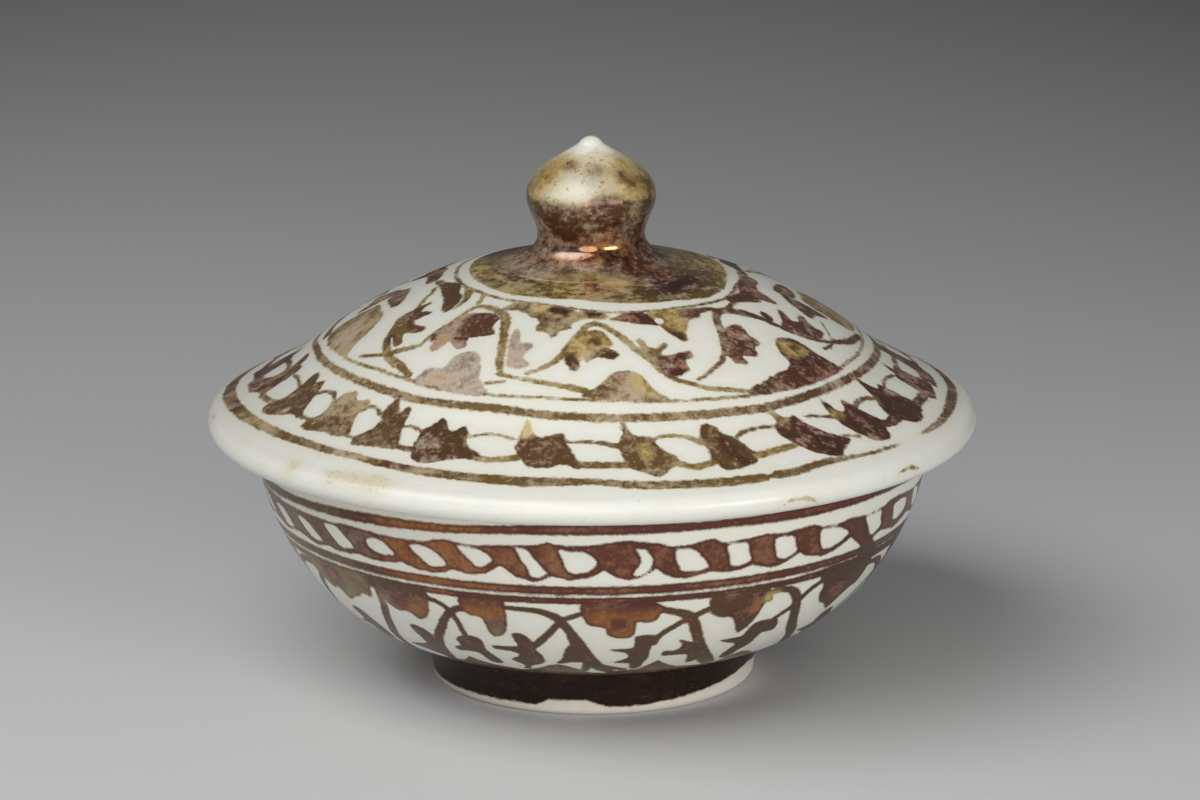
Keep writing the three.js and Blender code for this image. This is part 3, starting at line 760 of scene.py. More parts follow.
ROPE_BOTTOM = [
    (-82, 15.4), (-74, 13.8), (-68, 15.2), (-62, 14.2), (-56, 15.6), (-52, 14.6), (-50, 15.2), (-46, 14.8),
    (-44, 14.2), (-42, 14.8), (-39, 14.9), (-36, 14.4), (-34.4, 13.9), (-31, 15.2), (-28, 15.3),
    (-26, 14.9), (-24.4, 13.8), (-22, 14.4), (-20, 14.5), (-18, 13.8), (-17, 13), (-15.6, 11.7),
    (-13, 14.2), (-10, 15.4), (-8.4, 14.8), (-7, 13.7), (-4, 14.8), (0, 13.8), (2, 12.2), (4, 14.1),
    (6, 14.8), (8, 14.4), (10.8, 12.3), (12, 13.6), (14, 14.8), (16, 15.2), (20.4, 14), (24, 14.8),
    (26, 14.4), (28, 13.7), (32, 15.2), (34, 14.9), (36, 13.9), (37.4, 12.7), (39, 13.8), (43, 15.1),
    (46, 14.6), (48.4, 13.4), (50, 12.5), (53, 14.8), (54, 15.8), (57, 15.2), (60, 13.8), (66, 15.2),
    (72, 13.4), (78, 15.2), (84, 13.4), (90, 14.8),
]
BASE_TOP = [
    (-84, 49), (-76, 44.6), (-68, 49), (-60, 44.4), (-50, 49), (-44, 50), (-38, 49.4), (-33, 47.6),
    (-31, 45.6), (-29.6, 44), (-27.6, 46), (-25, 47.6), (-18, 49.8), (-15, 48.4), (-12, 46.4), (-10, 44.6),
    (-8, 44), (-6, 44.8), (-4, 46.6), (-1.6, 49), (0, 50.6), (3, 50.8), (5, 49), (11, 48), (13, 45),
    (14.6, 42.8), (18.4, 46.6), (21, 48.4), (28, 50), (32, 50.4), (34, 47), (37, 44.6), (40, 46), (44, 49),
    (50, 50), (56, 45), (64, 50), (74, 44.6), (86, 50),
]

# Bare windows between the strands of the rope
ROPE_WINDOWS = [
    [(-88, 9.8), (-86, 9.4), (-83.6, 11), (-82, 13.4), (-84, 14), (-86.4, 12.4)],
    [(-79.4, 9.8), (-77.4, 9.2), (-75, 10.6), (-73.4, 12.8), (-75.4, 13.4), (-78, 12)],
    [(-70.4, 10.4), (-68.6, 9.9), (-66.6, 10.4), (-64.6, 12.4), (-64, 13.6), (-66.6, 14.2), (-68.4, 12.6)],
    [(-60.5, 10), (-59, 9.9), (-57, 10.6), (-55.6, 12), (-54, 14), (-57, 14), (-58.6, 12.6), (-60, 11)],
    [(-51.8, 9.6), (-50.4, 8.9), (-48.6, 9), (-46.8, 10.4), (-45, 12.8), (-46, 13.4), (-48.4, 13.7),
     (-50, 12)],
    [(-41.4, 10.6), (-40.4, 9.6), (-39, 9.3), (-37.6, 9.8), (-35.6, 12.2), (-37, 12.7), (-39, 12.8),
     (-40.6, 12)],
    [(-32, 9.6), (-30.4, 8.9), (-29, 9.1), (-27, 10.2), (-25.4, 12.6), (-26.4, 13.4), (-28.4, 13.6),
     (-30, 12)],
    [(-22.8, 8.1), (-20.6, 8.1), (-18.6, 8.6), (-17, 10.2), (-17.8, 11.6), (-19.6, 12.3), (-20.8, 11)],
    [(-12.7, 7.6), (-10.9, 7.7), (-9.8, 9.4), (-8, 12.4), (-7.8, 13.2), (-9, 14.1), (-10.4, 13.8),
     (-10.8, 12)],
    [(-5.5, 7.4), (-3.6, 7.8), (-1.4, 8), (0.2, 9.2), (0.7, 10.6), (-0.4, 12.2), (-2.4, 13), (-4, 12.4),
     (-4.8, 10)],
    [(7.2, 7.4), (8.8, 7.8), (9.9, 9.6), (9.8, 11.8), (8.6, 13.3), (7, 13.7), (7.3, 12.4), (8, 10.8),
     (7.9, 9)],
    [(13.9, 8.3), (16.4, 8.1), (17.4, 8.8), (18.6, 10.4), (19.8, 12.4), (18.8, 13.4), (16.4, 13.4),
     (14.8, 12.6)],
    [(23, 8.2), (25.4, 8), (26.6, 8.4), (27, 10.4), (27.6, 12.2), (26, 13.2), (24.2, 13.2), (23.6, 11)],
    [(32.1, 8.4), (34.6, 8.2), (35.8, 8.8), (36.2, 10.4), (36.8, 12), (35, 13.4), (33.6, 13.2), (32.6, 12)],
    [(41.6, 8.7), (44, 8.6), (46.4, 9.2), (48.8, 10.8), (48.6, 11.6), (46.4, 13), (44, 13.4), (42.6, 12.6)],
    [(53.4, 8.8), (56, 8.5), (58, 8.6), (58.4, 10.4), (59.2, 12.4), (57.4, 13.8), (56, 13.6), (55, 11.6)],
    [(63, 9), (65.6, 8.5), (68, 8.8), (69.4, 10.4), (68.4, 12.2), (66, 13), (64, 12.4), (63.4, 10.6)],
    [(73, 8.8), (75.4, 8.6), (77.6, 10.4), (78.6, 12.6), (77, 13.6), (74.6, 12.4)],
    [(82, 8.6), (84.6, 8.6), (86.6, 10.4), (87.4, 12.6), (85.6, 13.4), (83.4, 12)],
]

# Three-lobed palmettes that hang from the lower of the two lines
BOWL_PALMETTES = [
    ([(-88, 20.4), (-72, 20.4), (-73, 25), (-76, 28), (-79, 30.4), (-82, 28), (-86, 27)], OLIVE, 0.8),
    ([(-64, 20.4), (-44.6, 20.4), (-45, 24), (-46, 26.4), (-48, 26), (-50, 27.4), (-52.4, 28.6), (-55, 30),
      (-57, 27), (-59, 28), (-62, 25)], SEPIA, 0.82),
    ([(-44, 20.4), (-31.6, 20.4), (-31.6, 25), (-32.6, 28), (-34.4, 29.8), (-35.6, 30.2), (-36.6, 29),
      (-38, 28.2), (-39.6, 28.6), (-41.4, 27.2), (-42.4, 25)], COPPER - 0.04, 0.92),
    ([(-24, 20.4), (-16.4, 20.4), (-16, 23), (-16, 26), (-16.6, 29.6), (-18, 32), (-19.6, 32.6),
      (-20.4, 31), (-20.6, 28), (-21.4, 26.4), (-23, 26.2), (-24.4, 24.6)], COPPER, 0.92),
    ([(-1.4, 20.4), (9.4, 20.4), (13, 22.6), (12.4, 24.6), (11.6, 26.4), (10, 27), (8.2, 26.6), (8, 28.4),
      (7.8, 31), (6.4, 32), (4.4, 31.8), (3, 30.6), (2.2, 28.4), (0, 27.6), (-1.4, 26)], COPPER, 0.98),
    ([(22, 20.4), (32, 20.4), (34, 22), (34.6, 24.6), (33.4, 25), (33, 27), (32.6, 30), (31.4, 33),
      (30, 34), (28.6, 31), (27, 28), (25, 27.6), (23, 26.4), (22, 25)], BROWN, 1.02),
    ([(46, 20.4), (60.4, 20.4), (61.6, 25), (61, 28), (59, 28.6), (57, 31), (55.4, 34), (53, 32),
      (51.6, 30.8), (49.4, 29.6), (47.8, 27), (47.4, 24)], BROWN, 1.02),
    ([(72, 20.4), (86, 20.4), (86.4, 24), (85, 28), (82.4, 28), (81, 31), (79, 33), (77, 31), (74, 29.4),
      (72, 25)], BROWN, 0.95),
]

# Where the lustre turned copper, olive or dark inside them
PALMETTE_TOUCHES = [
    ([(-58, 21), (-54, 21), (-54, 26), (-58, 26)], COPPER, 0.9),
    ([(-50, 23), (-46, 23), (-46, 26), (-50, 26)], UMBER, 0.9),
    ([(-44, 20), (-32, 20), (-32, 22), (-44, 22)], BROWN, 0.95),
    ([(-44, 24), (-41, 24), (-41, 28), (-44, 28)], UMBER, 0.75),
    ([(-39, 24.4), (-37, 24.4), (-37, 26), (-39, 26)], PURPLE, 1.05),
    ([(-24, 20), (-16, 20), (-16, 21.8), (-24, 21.8)], PURPLE, 1),
    ([(-20, 28), (-17, 28), (-18, 32), (-20, 32)], UMBER, 0.85),
    ([(-1, 20), (9, 20), (12, 22.4), (-1, 22.6)], PURPLE, 1),
    ([(4, 26.4), (5.6, 26.4), (5.6, 28), (4, 28)], PURPLE, 1.1),
    ([(30, 23), (33.6, 23), (33, 28), (30, 28)], COPPER, 0.85),
    ([(26, 26), (29, 26), (29, 30), (27, 30)], COPPER - 0.08, 0.9),
    ([(50, 25), (56, 25), (56, 31), (51, 29)], BRONZE, 0.9),
    ([(75, 24), (81, 24), (80, 31), (76, 29)], COPPER, 0.85),
]

# A spot in one of them where the paint is worn
WORN_SPOT = [(33, 22), (36, 22), (36, 25), (33, 25)]

# Stems, with one width or the width at each point
BOWL_STEMS = [
    ([(-42.8, 24), (-43.4, 28), (-45, 32), (-46.6, 36), (-49, 41), (-51, 48)], [1.3, 1.4, 1.5, 1.6, 1.6,
      1.8]),
    ([(-31, 22.8), (-29.6, 23.2), (-28, 24.4), (-27, 26.4), (-26.4, 29), (-26.2, 33.6)], 0.9),
    ([(-24.2, 24.2), (-26.6, 25.4), (-29, 28.4), (-31, 32), (-33.4, 36), (-35, 40), (-36.4, 45), (-38, 50)],
      [1.1, 1.2, 1.3, 1.4, 1.5, 1.6, 1.8, 1.9]),
    ([(-16.2, 22.8), (-13, 23), (-9.6, 23.4), (-7, 24.8), (-5.4, 27), (-4.2, 30), (-3, 34), (-2, 38),
      (-0.6, 42), (1.6, 46), (4, 49)], [0.8, 0.9, 1.1, 1.5, 1.4, 1.5, 2.2, 2.6, 2.6, 2, 1.5]),
    ([(-0.6, 42), (-1.4, 45), (-2, 47.6)], [1.6, 1.4, 1]),
    ([(0.6, 44), (4, 46), (7.4, 47.6)], [1.6, 1.4, 1]),
    ([(-5, 25.4), (-3, 24.4), (-1.2, 23.2), (-0.6, 22.4)], 0.9),
    ([(-5.8, 26.4), (-7.6, 29), (-9.4, 32), (-11.4, 34.6), (-12.4, 36)], [1, 1.1, 1.2, 1.3, 1.3]),
    ([(9.6, 22.6), (13, 23.4), (16, 24.6), (18, 26), (19.6, 29), (21, 33), (22.6, 37), (24.6, 41), (27, 45),
      (30, 49)], [1, 1.2, 1.4, 1.8, 1.7, 1.6, 1.8, 2.2, 2.4, 2]),
    ([(22, 24), (20, 25.4), (18, 26.8), (16, 28.4), (14, 30.4), (12.6, 32.6), (12.2, 34.6)], 1.1),
    ([(34.4, 22), (37, 22), (39, 23), (40.6, 25), (42, 28), (43.6, 32), (45.6, 36), (48.6, 40), (52, 45),
      (56, 49)], [1.2, 1.2, 1.4, 1.6, 1.7, 1.8, 1.9, 1.9, 1.8, 1.8]),
    ([(46.6, 22.4), (44, 24), (42.6, 26), (41.4, 28), (39.4, 30), (37.4, 31.8), (35.6, 32.6)], 1.05),
    ([(60, 22.6), (65, 23), (69, 25.6), (72, 30), (75, 36), (78, 42), (82, 48)], [1, 1.3, 1.6, 1.8, 1.9, 2,
      1.9]),
    ([(73, 25), (70, 28.6), (67, 33), (64, 38)], [1.1, 1.3, 1.4, 1.3]),
    ([(86, 24), (90, 23.4), (94, 26), (97, 31), (99, 37), (101, 43), (104, 48)], [1, 1.3, 1.6, 1.8, 1.9, 2,
      1.9]),
    ([(-61, 24), (-64, 28), (-67, 33), (-71, 39), (-74, 45)], [1.1, 1.4, 1.6, 1.8, 2]),
    ([(-62, 22.6), (-67, 22.6), (-71, 25), (-73, 30), (-74, 35)], [1, 1.2, 1.4, 1.4, 1.2]),
]

BOWL_LEAVES = [
    [(-39.6, 34), (-37.4, 33.2), (-35.6, 34.6), (-35, 36.6), (-36, 40), (-38, 47), (-42, 45), (-46, 43.4),
     (-41, 41.6), (-39, 40)],
    [(-27.6, 34.2), (-25.6, 33.6), (-23.6, 34), (-23, 36), (-23.2, 39), (-22, 42), (-21.4, 44.8),
     (-22.6, 46), (-24.4, 45.4), (-25, 43), (-25.8, 41), (-28, 40.6), (-30.4, 41), (-30.8, 39.4),
     (-29, 38.4), (-29, 36)],
    [(-15.8, 31.4), (-14.4, 30.8), (-13, 32), (-12.2, 34), (-11.8, 37), (-10.6, 41), (-11.4, 43.6),
     (-13, 44.8), (-14.8, 46), (-15.6, 48), (-17, 48), (-16, 45.6), (-18.4, 42.6), (-16.6, 41),
     (-15.8, 39.6), (-17, 38.4), (-20.4, 38), (-21.4, 37.2), (-20.6, 36.6), (-15.6, 36), (-15.6, 33.6)],
    [(-5.4, 35.8), (-4, 34.4), (-2, 38), (-2.4, 42), (-4.8, 42.4), (-7.4, 43.4), (-8, 42.6), (-6.8, 41),
     (-6.2, 38.6)],
    [(8.4, 32), (10, 31.2), (12, 31.6), (12.4, 33.6), (11.8, 37), (12, 41), (11.4, 43.6), (10.8, 46.8),
     (9.4, 47.4), (8.6, 46), (8.2, 43.6), (5, 42.8), (6.4, 41.4), (7.6, 40), (6.8, 38), (3.8, 36.6),
     (7.4, 36.2), (8.4, 35.2)],
    [(17.4, 34), (19.4, 35), (20.6, 35.4), (22, 37), (23, 40), (24.4, 43), (24, 45.6), (22.4, 45.8),
     (21.6, 43), (20.4, 40.8), (15.4, 40.4), (14.8, 39), (15.4, 38.2), (17.6, 38.4), (18.6, 36.2)],
    [(34, 31.4), (38.4, 31.6), (40, 33.6), (40.2, 36), (37.4, 36.2), (36.8, 38), (36.4, 41), (35, 43),
     (34, 46.4), (32, 46.6), (31, 44), (31.6, 41), (31.8, 39), (30, 38), (27.2, 36.4), (32, 36),
     (32.6, 33.6)],
    [(56, 36), (59, 35), (62, 38), (66, 40), (63, 42), (66, 46), (60, 46), (56, 43), (52, 41), (56, 40)],
    [(85, 34), (88, 33), (91, 36), (94, 38), (91, 40), (93, 45), (88, 45), (85, 42), (81, 40), (85, 39)],
    [(-58, 34), (-55, 33), (-53, 36), (-52, 40), (-54, 45), (-59, 44), (-58, 41), (-62, 40), (-58, 38)],
    [(-84, 34), (-81, 33), (-79, 36), (-78, 40), (-80, 45), (-85, 44), (-84, 41), (-88, 40), (-84, 38)],
]
ROPE_STRAND = [
    (47.4, 7.8), (51, 8), (53, 9.6), (55, 12), (56.6, 14), (58.6, 15.8), (61, 18), (62, 20), (56, 20.6),
    (54.6, 17), (53.4, 15), (51.6, 12.6), (49.6, 10.6),
]


def paint_bowl(bowl, points):
    brush = Painting(bowl, points, BOWL_ZERO)
    turn, along = brush.turn, brush.along
    seen = seen_turn(turn)

    # The copper of the rim, the rope and the bands is warmest on the left, and fades at the far left.
    to_left = 0.5 - 0.5 * np.tanh((seen + 18) / 8)
    far_left = np.clip((-seen - 36) / 14, 0, 1)
    warm = PURPLE + 0.09 + 0.17 * to_left - 0.6 * far_left
    brush.ring(level(turn, BOWL_RIM_LINE), 1.08 + 0.12 * np.cos(np.radians(turn * 9)), warm, 0.95)
    rope_top, rope_bottom = (level(seen, edge, HALF_TURN) for edge in (ROPE_TOP, ROPE_BOTTOM))
    brush.band(rope_top, rope_bottom, warm, 0.95 - 0.08 * to_left)
    for window in ROPE_WINDOWS:
        for shift in HALVES:
            brush.window(window, shift)
    brush.band(*UPPER_BAND, warm, 0.95)
    wider = 0.5 * np.clip((seen - 40) / 8, 0, 1)
    brush.band(LOWER_BAND_TOP - wider, LOWER_BAND_BOTTOM, warm - 0.06, 0.98)

    for shift in HALVES:
        brush.leaf(ROPE_STRAND, BROWN, 1, shift)
        for shape, tone, body in BOWL_PALMETTES:
            brush.leaf(shape, tone, body, shift)
        for shape in BOWL_LEAVES:
            brush.leaf(shape, FOLIAGE, LEAF_BODY, shift)
        for stem, width in BOWL_STEMS:
            brush.stroke(stem, np.multiply(width, STEM_WEIGHT), FOLIAGE, STEM_BODY, shift)
    brush.band(level(seen, BASE_TOP, HALF_TURN), BOWL_BARE_BASE, UMBER, 0.98)

    # Low down, the brush spread the paint a little, and it is redder on the left.
    low = along > LEAVES_TOP
    brush.edge[low] -= 0.1
    brush.tone[low] += 0.3 * np.clip(-seen[low] / 36, 0, 1)
    for shift in HALVES:
        for touches, soft in ((BOWL_PALMETTES, 1.2), (PALMETTE_TOUCHES, 3)):
            for shape, tone, body in touches:
                brush.touch(shape, tone, body, shift, soft)
        brush.touch(WORN_SPOT, OLIVE, 0.4, shift)
    inside = (along < BOWL_PAINT_TOP) | (brush.height > BOWL_TOP - 1)
    brush.edge[inside] = Painting.FAR
    brush.body += 0.1 * np.clip((seen - 24) / 25, 0, 1)
    brush.shine = np.full(len(turn), 0.2)
    brush.finish()


# Materials

class Number:
    """A number that changes over a surface. Sums on it add Math nodes."""

    def __init__(self, surface, socket):
        self.surface, self.socket = surface, socket

    def math(self, operation, *values):
        return self.surface.node("ShaderNodeMath", {"operation": operation}, dict(enumerate(values)))

    def __add__(self, other):
        return self.math("ADD", self, other)

    def __sub__(self, other):
        return self.math("SUBTRACT", self, other)

    def __rsub__(self, other):
        return self.math("SUBTRACT", other, self)

    def __mul__(self, other):
        return self.math("MULTIPLY", self, other)

    __radd__ = __add__

    def clamp(self):
        return self.surface.node("ShaderNodeClamp", {}, {0: self})

    def above(self, threshold, slope):
        """0 up to a threshold, and from there up to 1 at a slope."""
        return ((self - threshold) * slope).clamp()


class Surface:
    """A material, and the nodes that make its finish."""

    def __init__(self, name, **constants):
        self.material = bpy.data.materials.new(name)
        self.material.use_nodes = True
        self.shader = self.material.node_tree.nodes["Principled BSDF"]
        self.place = self.node("ShaderNodeTexCoord", {}, {}, "Object")
        for socket, value in constants.items():
            self.shader.inputs[socket.replace("_", " ")].default_value = value

    def node(self, kind, settings, values, output=0):
        made = self.material.node_tree.nodes.new(kind)
        for setting, value in settings.items():
            setattr(made, setting, value)
        for socket, value in values.items():
            if isinstance(value, Number):
                self.material.node_tree.links.new(value.socket, made.inputs[socket])
            else:
                made.inputs[socket].default_value = value
        return Number(self, made.outputs[output])

    def noise(self, size, detail=3.0, roughness=0.55, place=None):
        """Noise from 0 to 1 whose patches are about size mm across."""
        if place is None:
            place = self.node("ShaderNodeMapping", {}, {"Vector": self.place, "Scale": (1000, 1000, 1000)})
        return self.node("ShaderNodeTexNoise", {}, {
            "Vector": place, "Scale": 1 / size, "Detail": detail, "Roughness": roughness,
        })

    def mix(self, factor, first, second):
        """Blends two colours."""
        first, second = (c if isinstance(c, Number) else (*c, 1) for c in (first, second))
        return self.node("ShaderNodeMix", {"data_type": "RGBA"}, {0: factor, 6: first, 7: second}, 2)

    def ramp(self, factor, stops):
        made = self.node("ShaderNodeValToRGB", {}, {0: factor})
        bands = made.socket.node.color_ramp
        bands.elements[0].position, bands.elements[0].color = stops[0][0], (*stops[0][1], 1)
        bands.elements[1].position, bands.elements[1].color = stops[-1][0], (*stops[-1][1], 1)
        for position, colour in stops[1:-1]:
            bands.elements.new(position).color = (*colour, 1)
        return made

    def attribute(self, name, output="Vector"):
        return self.node("ShaderNodeAttribute", {"attribute_name": name}, {}, output)

    def bump(self, height):
        """Lifts the surface by a height in mm, which the strength softens."""
        self.set(Normal=self.node("ShaderNodeBump", {}, {
            "Height": height, "Distance": MM, "Strength": 0.35,
        }))

    def set(self, **links):
        for socket, value in links.items():
            self.material.node_tree.links.new(value.socket, self.shader.inputs[socket.replace("_", " ")])


GLAZE_WARM = (0.775, 0.76, 0.68)
GLAZE_COOL = (0.75, 0.76, 0.71)
GLAZE_POOL = (0.68, 0.64, 0.47)
GLAZE_SCUFF = (0.56, 0.51, 0.38)
GLAZE_PIT = (0.17, 0.12, 0.07)
CLAY = (0.85, 0.82, 0.74)
CLAY_SHADE = (0.70, 0.61, 0.55)

# Colours of the lustre by tone, where it lies thick and where it lies thin
THICK_PAINT = [
    (OLIVE, (0.185, 0.115, 0.027)), (UMBER, (0.135, 0.077, 0.029)), (BROWN, (0.108, 0.050, 0.022)),
    (PURPLE, (0.098, 0.031, 0.019)), (BRONZE, (0.158, 0.050, 0.023)), (COPPER, (0.25, 0.093, 0.026)),
]
THIN_PAINT = [
    (OLIVE, (0.60, 0.43, 0.165)), (UMBER, (0.45, 0.36, 0.20)), (BROWN, (0.45, 0.34, 0.20)),
    (PURPLE, (0.47, 0.37, 0.29)), (BRONZE, (0.47, 0.29, 0.16)), (COPPER, (0.46, 0.24, 0.10)),
]
BLACKENED = (0.022, 0.012, 0.009)


def glaze_colour(surface):
    colour = surface.mix(surface.noise(22, 4), GLAZE_WARM, GLAZE_COOL)
    pools = surface.noise(8, 5, 0.62).above(0.52, 4)
    colour = surface.mix(pools * 0.4, colour, GLAZE_POOL)
    scuffs = surface.noise(2.2, 5, 0.7).above(0.62, 9)
    colour = surface.mix(scuffs * (surface.noise(15, 2) * 0.8).clamp(), colour, GLAZE_SCUFF)
    pits = surface.noise(1.0, 2).above(0.74, 12)
    return surface.mix(pits * 0.75, colour, GLAZE_PIT)


def scratches(surface, turn):
    """Fine straight scratches that cross the paint in one direction, in places."""
    place = surface.node("ShaderNodeMapping", {}, {
        "Vector": surface.place, "Rotation": (0, 0, turn), "Scale": (25, 600, 600),
    })
    line = (surface.noise(1, 2, 0.5, place) - 0.5).math("ABSOLUTE")
    return ((0.018 - line) * 100).clamp() * surface.noise(11, 2).above(0.52, 12)


def lustre_finish(
    name, mottle, wash=0.5, shading=1.0, contour=0.0, streaked=0.0, speckled=0.0, flecked=0.1, fray=0.3,
    wander_size=0.7, bare=None,
):
    """Brushwork over a ground: thick paint is dark, and thin paint lets the ground glow through. The numbers
    say how much the paint varies: mottle and wash in thickness, by patches and by hairs; shading in tone;
    contour by darker edges; streaked where it shines; speckled by dots and flecked by bare flecks; fray and
    wander_size, in mm, at its edge. bare gives the ground's colour where that isn't glaze."""
    surface = Surface(name, IOR=1.4)
    brushwork = surface.attribute("brushwork")
    edge, tone, body = (surface.node("ShaderNodeSeparateXYZ", {}, {0: brushwork}, axis) for axis in "XYZ")
    shine = surface.attribute("shine", "Fac")
    grain = surface.attribute("grain")
    hairs = surface.noise(1, 3, 0.6, grain)
    streaks = surface.noise(2.2, 4, 0.6, grain)
    fine = surface.noise(0.5, 2)
    drift = surface.noise(12, 2)
    patches = surface.noise(3.4, 4, 0.62)
    specks = surface.noise(1.2, 4, 0.7)

    # Where the paint lies, and how far inside its edge a place is
    wander = (surface.noise(1.6, 4, 0.62) - 0.5) * wander_size + (fine - 0.5) * 0.35 + (hairs - 0.5) * fray
    distance = edge + wander
    painted = (0.5 - distance * 2.0).clamp()
    depth = (distance * -1.1).clamp()

    # How thin it lies
    uneven = (hairs - 0.5) * wash + ((patches - 0.5) * 1.2 + (specks - 0.5) + (drift - 0.5)) * mottle
    brushed = ((streaks - 0.5) * 5.5 + (patches - 0.5) * 2) * shine * streaked
    uneven = (uneven + brushed) * (1.9 - shine).clamp()
    dots = surface.noise(0.9, 3, 0.6).above(0.57, 9) * patches.above(0.42, 6)
    thin = (1 - body) * 1.3 + uneven - (1 - depth) * contour - dots * speckled

    # Its colour
    shade = tone + ((drift - 0.5) * 0.9 + (patches - 0.5) * 0.6 + (specks - 0.5) * 0.4) * shading
    shade = (shade - (1 - depth) * contour * 0.5).clamp()
    paint = surface.mix(thin.clamp(), surface.ramp(shade, THICK_PAINT), surface.ramp(shade, THIN_PAINT))
    paint = surface.mix(((body - 1) * 2 - thin * 0.6).clamp(), paint, BLACKENED)

    # How well it covers the ground, which is stained next to it
    flecks = surface.noise(1.1, 4, 0.7).above(0.62, 12)
    scratched = scratches(surface, 0.5) + scratches(surface, 2.2)
    laid = ((body + dots * speckled) * 2.6).clamp()
    cover = painted * (1 - flecks * flecked) * (1 - scratched * 0.5) * laid
    ground = bare(surface) if bare else glaze_colour(surface)
    ground = surface.mix((1 - edge * 0.45).clamp() * 0.45, ground, GLAZE_POOL)

    worn = thin.clamp() * 0.3
    if bare:
        roughness = 0.45 - cover * 0.25
    else:
        roughness = 0.26 + cover * (worn - shine * (0.13 + worn * 0.4)) + fine * 0.04
    surface.set(
        Base_Color=surface.mix(cover, ground, paint),
        Roughness=roughness,
        Metallic=(cover * (0.1 + shine * (0.6 - worn))).clamp(),
    )
    waves = surface.noise(16, 2) * 0.4 + surface.noise(1.4, 3) * 0.03 + cover * 0.02 + hairs * cover * 0.02
    surface.bump(waves)
    return surface.material


def clay_colour(surface):
    return surface.mix(surface.noise(2.5, 5), CLAY, CLAY_SHADE)


def plain_glaze():
    surface = Surface("plain_white_glaze", IOR=1.48)
    surface.set(Base_Color=glaze_colour(surface), Roughness=0.24 + surface.noise(8) * 0.06)
    surface.bump(surface.noise(14, 2) * 0.35 + surface.noise(1.4, 3) * 0.03)
    return surface.material


# Pieces

def make_lid(finish):
    points = lid_outline()
    lid = turn_piece("glazed_lid", points, LID_SIDES)
    paint_lid(lid, points)
    return dress(lid, finish, "lid", "lid_dome")


def make_bowl(finish):
    points = bowl_outline()
    bowl = turn_piece("glazed_bowl", points, BOWL_SIDES)
    paint_bowl(bowl, points)
    return dress(bowl, finish, "bowl", "bowl_wall")


def make_flange(finish):
    inner = FLANGE_RADIUS - FLANGE_WALL
    outer = FLANGE_RADIUS - FLANGE_DRAFT
    toe = arc(outer - FLANGE_EDGE, FLANGE_BASE + FLANGE_EDGE, FLANGE_EDGE, -math.pi / 2, 0)
    heel = arc(inner + FLANGE_EDGE, FLANGE_BASE + FLANGE_EDGE, FLANGE_EDGE, math.pi, 1.5 * math.pi)
    top = SEAT + GAP
    ring = [toe[-1], (FLANGE_RADIUS, top), (inner, top), heel[0]]
    points = outline((toe, 0.3), (ring, 1.5), (heel, 0.3), ([heel[-1], toe[0]], 1))
    flange = turn_piece("glazed_flange", points, FLANGE_SIDES)
    return dress(flange, finish, "lid", "lid_flange")


# How high the foot's bare edge reaches round it, as (turn, mm)
FOOT_BARE = [
    (-90, 2.2), (-70, 1.8), (-20, 2.1), (-16, 3.4), (-2, 3.5), (4, 2.2), (12, 1.9), (30, 2.4), (50, 3.6),
    (70, 5), (90, 4), (130, 2), (180, 2.6),
]


def make_foot(finish):
    outer = FOOT_RADIUS - FOOT_TAPER
    inner = outer - FOOT_WALL
    heel = arc(outer - FOOT_EDGE, FOOT_EDGE, FOOT_EDGE, -math.pi / 2, 0)
    toe = arc(inner + FOOT_EDGE, FOOT_EDGE, FOOT_EDGE, math.pi, 1.5 * math.pi)
    top = BOWL_BASE + GAP
    outside = bezier(heel[-1], (outer + 0.2, 5), (FOOT_RADIUS - 0.3, 7), (FOOT_RADIUS + 0.6, top))
    inside = [(inner - 0.6, top), (inner, 8), toe[0]]
    points = outline(
        (heel, 0.4), (outside, 0.5), ([outside[-1], inside[0]], 2), (inside, 1), (toe, 0.4),
        ([toe[-1], heel[0]], 0.5),
    )
    foot = turn_piece("foot", points, FOOT_SIDES)
    brush = Painting(foot, points, points[-1])
    brush.edge = np.clip(level(brush.turn, FOOT_BARE) - brush.height, -5, 5)
    brush.edge[brush.radius < inner + 0.3] = Painting.FAR
    brush.tone = np.full(len(brush.turn), PURPLE - 0.1)
    brush.body = np.full(len(brush.turn), 1.34)
    brush.shine = np.full(len(brush.turn), 0.5)
    brush.finish()
    return dress(foot, finish, "bowl", "foot_ring")


# The knob's foot is run out over the dome until the two can't be told apart.
KNOB_FLARE_EDGE = 20


def knob_outline():
    waist = (KNOB_NECK_RADIUS, CROWN + KNOB_NECK_RISE)
    widest = (KNOB_RADIUS, CROWN + KNOB_WIDEST_RISE)
    under = dome(DOME_RADIUS - 0.15, 0, KNOB_FLARE_EDGE)
    flare = dome(DOME_RADIUS + 0.05, 0, KNOB_FLARE_EDGE)[-1]
    run = (flare[0] - waist[0]) * 0.62
    slope = flare[0] / (flare[1] - DOME_CENTRE)
    drop = (waist[1] - flare[1]) * 0.5
    neck = bezier(flare, (flare[0] - run, flare[1] + run * slope), (waist[0], waist[1] - drop), waist)
    bulge = (widest[1] - waist[1]) * 0.35
    bud = bezier(waist, (waist[0], waist[1] + bulge), (widest[0], widest[1] - bulge), widest)
    nub_foot = (NUB_RADIUS, KNOB_TOP - NUB_HEIGHT)
    rise = nub_foot[1] - widest[1]
    shoulder = (widest[0], widest[1] + rise * 0.5)
    cone = bezier(widest, shoulder, (nub_foot[0] + rise * 0.44, nub_foot[1] - rise * 0.3), nub_foot)
    nub_side = (NUB_RADIUS * 0.75, nub_foot[1] + NUB_HEIGHT * 0.5)
    nub = bezier(nub_foot, nub_side, (NUB_RADIUS * 0.5, KNOB_TOP), (0, KNOB_TOP))
    return outline((under, 4), (neck, 0.4), (bud, 0.4), (cone, 0.4), (nub, 0.3))
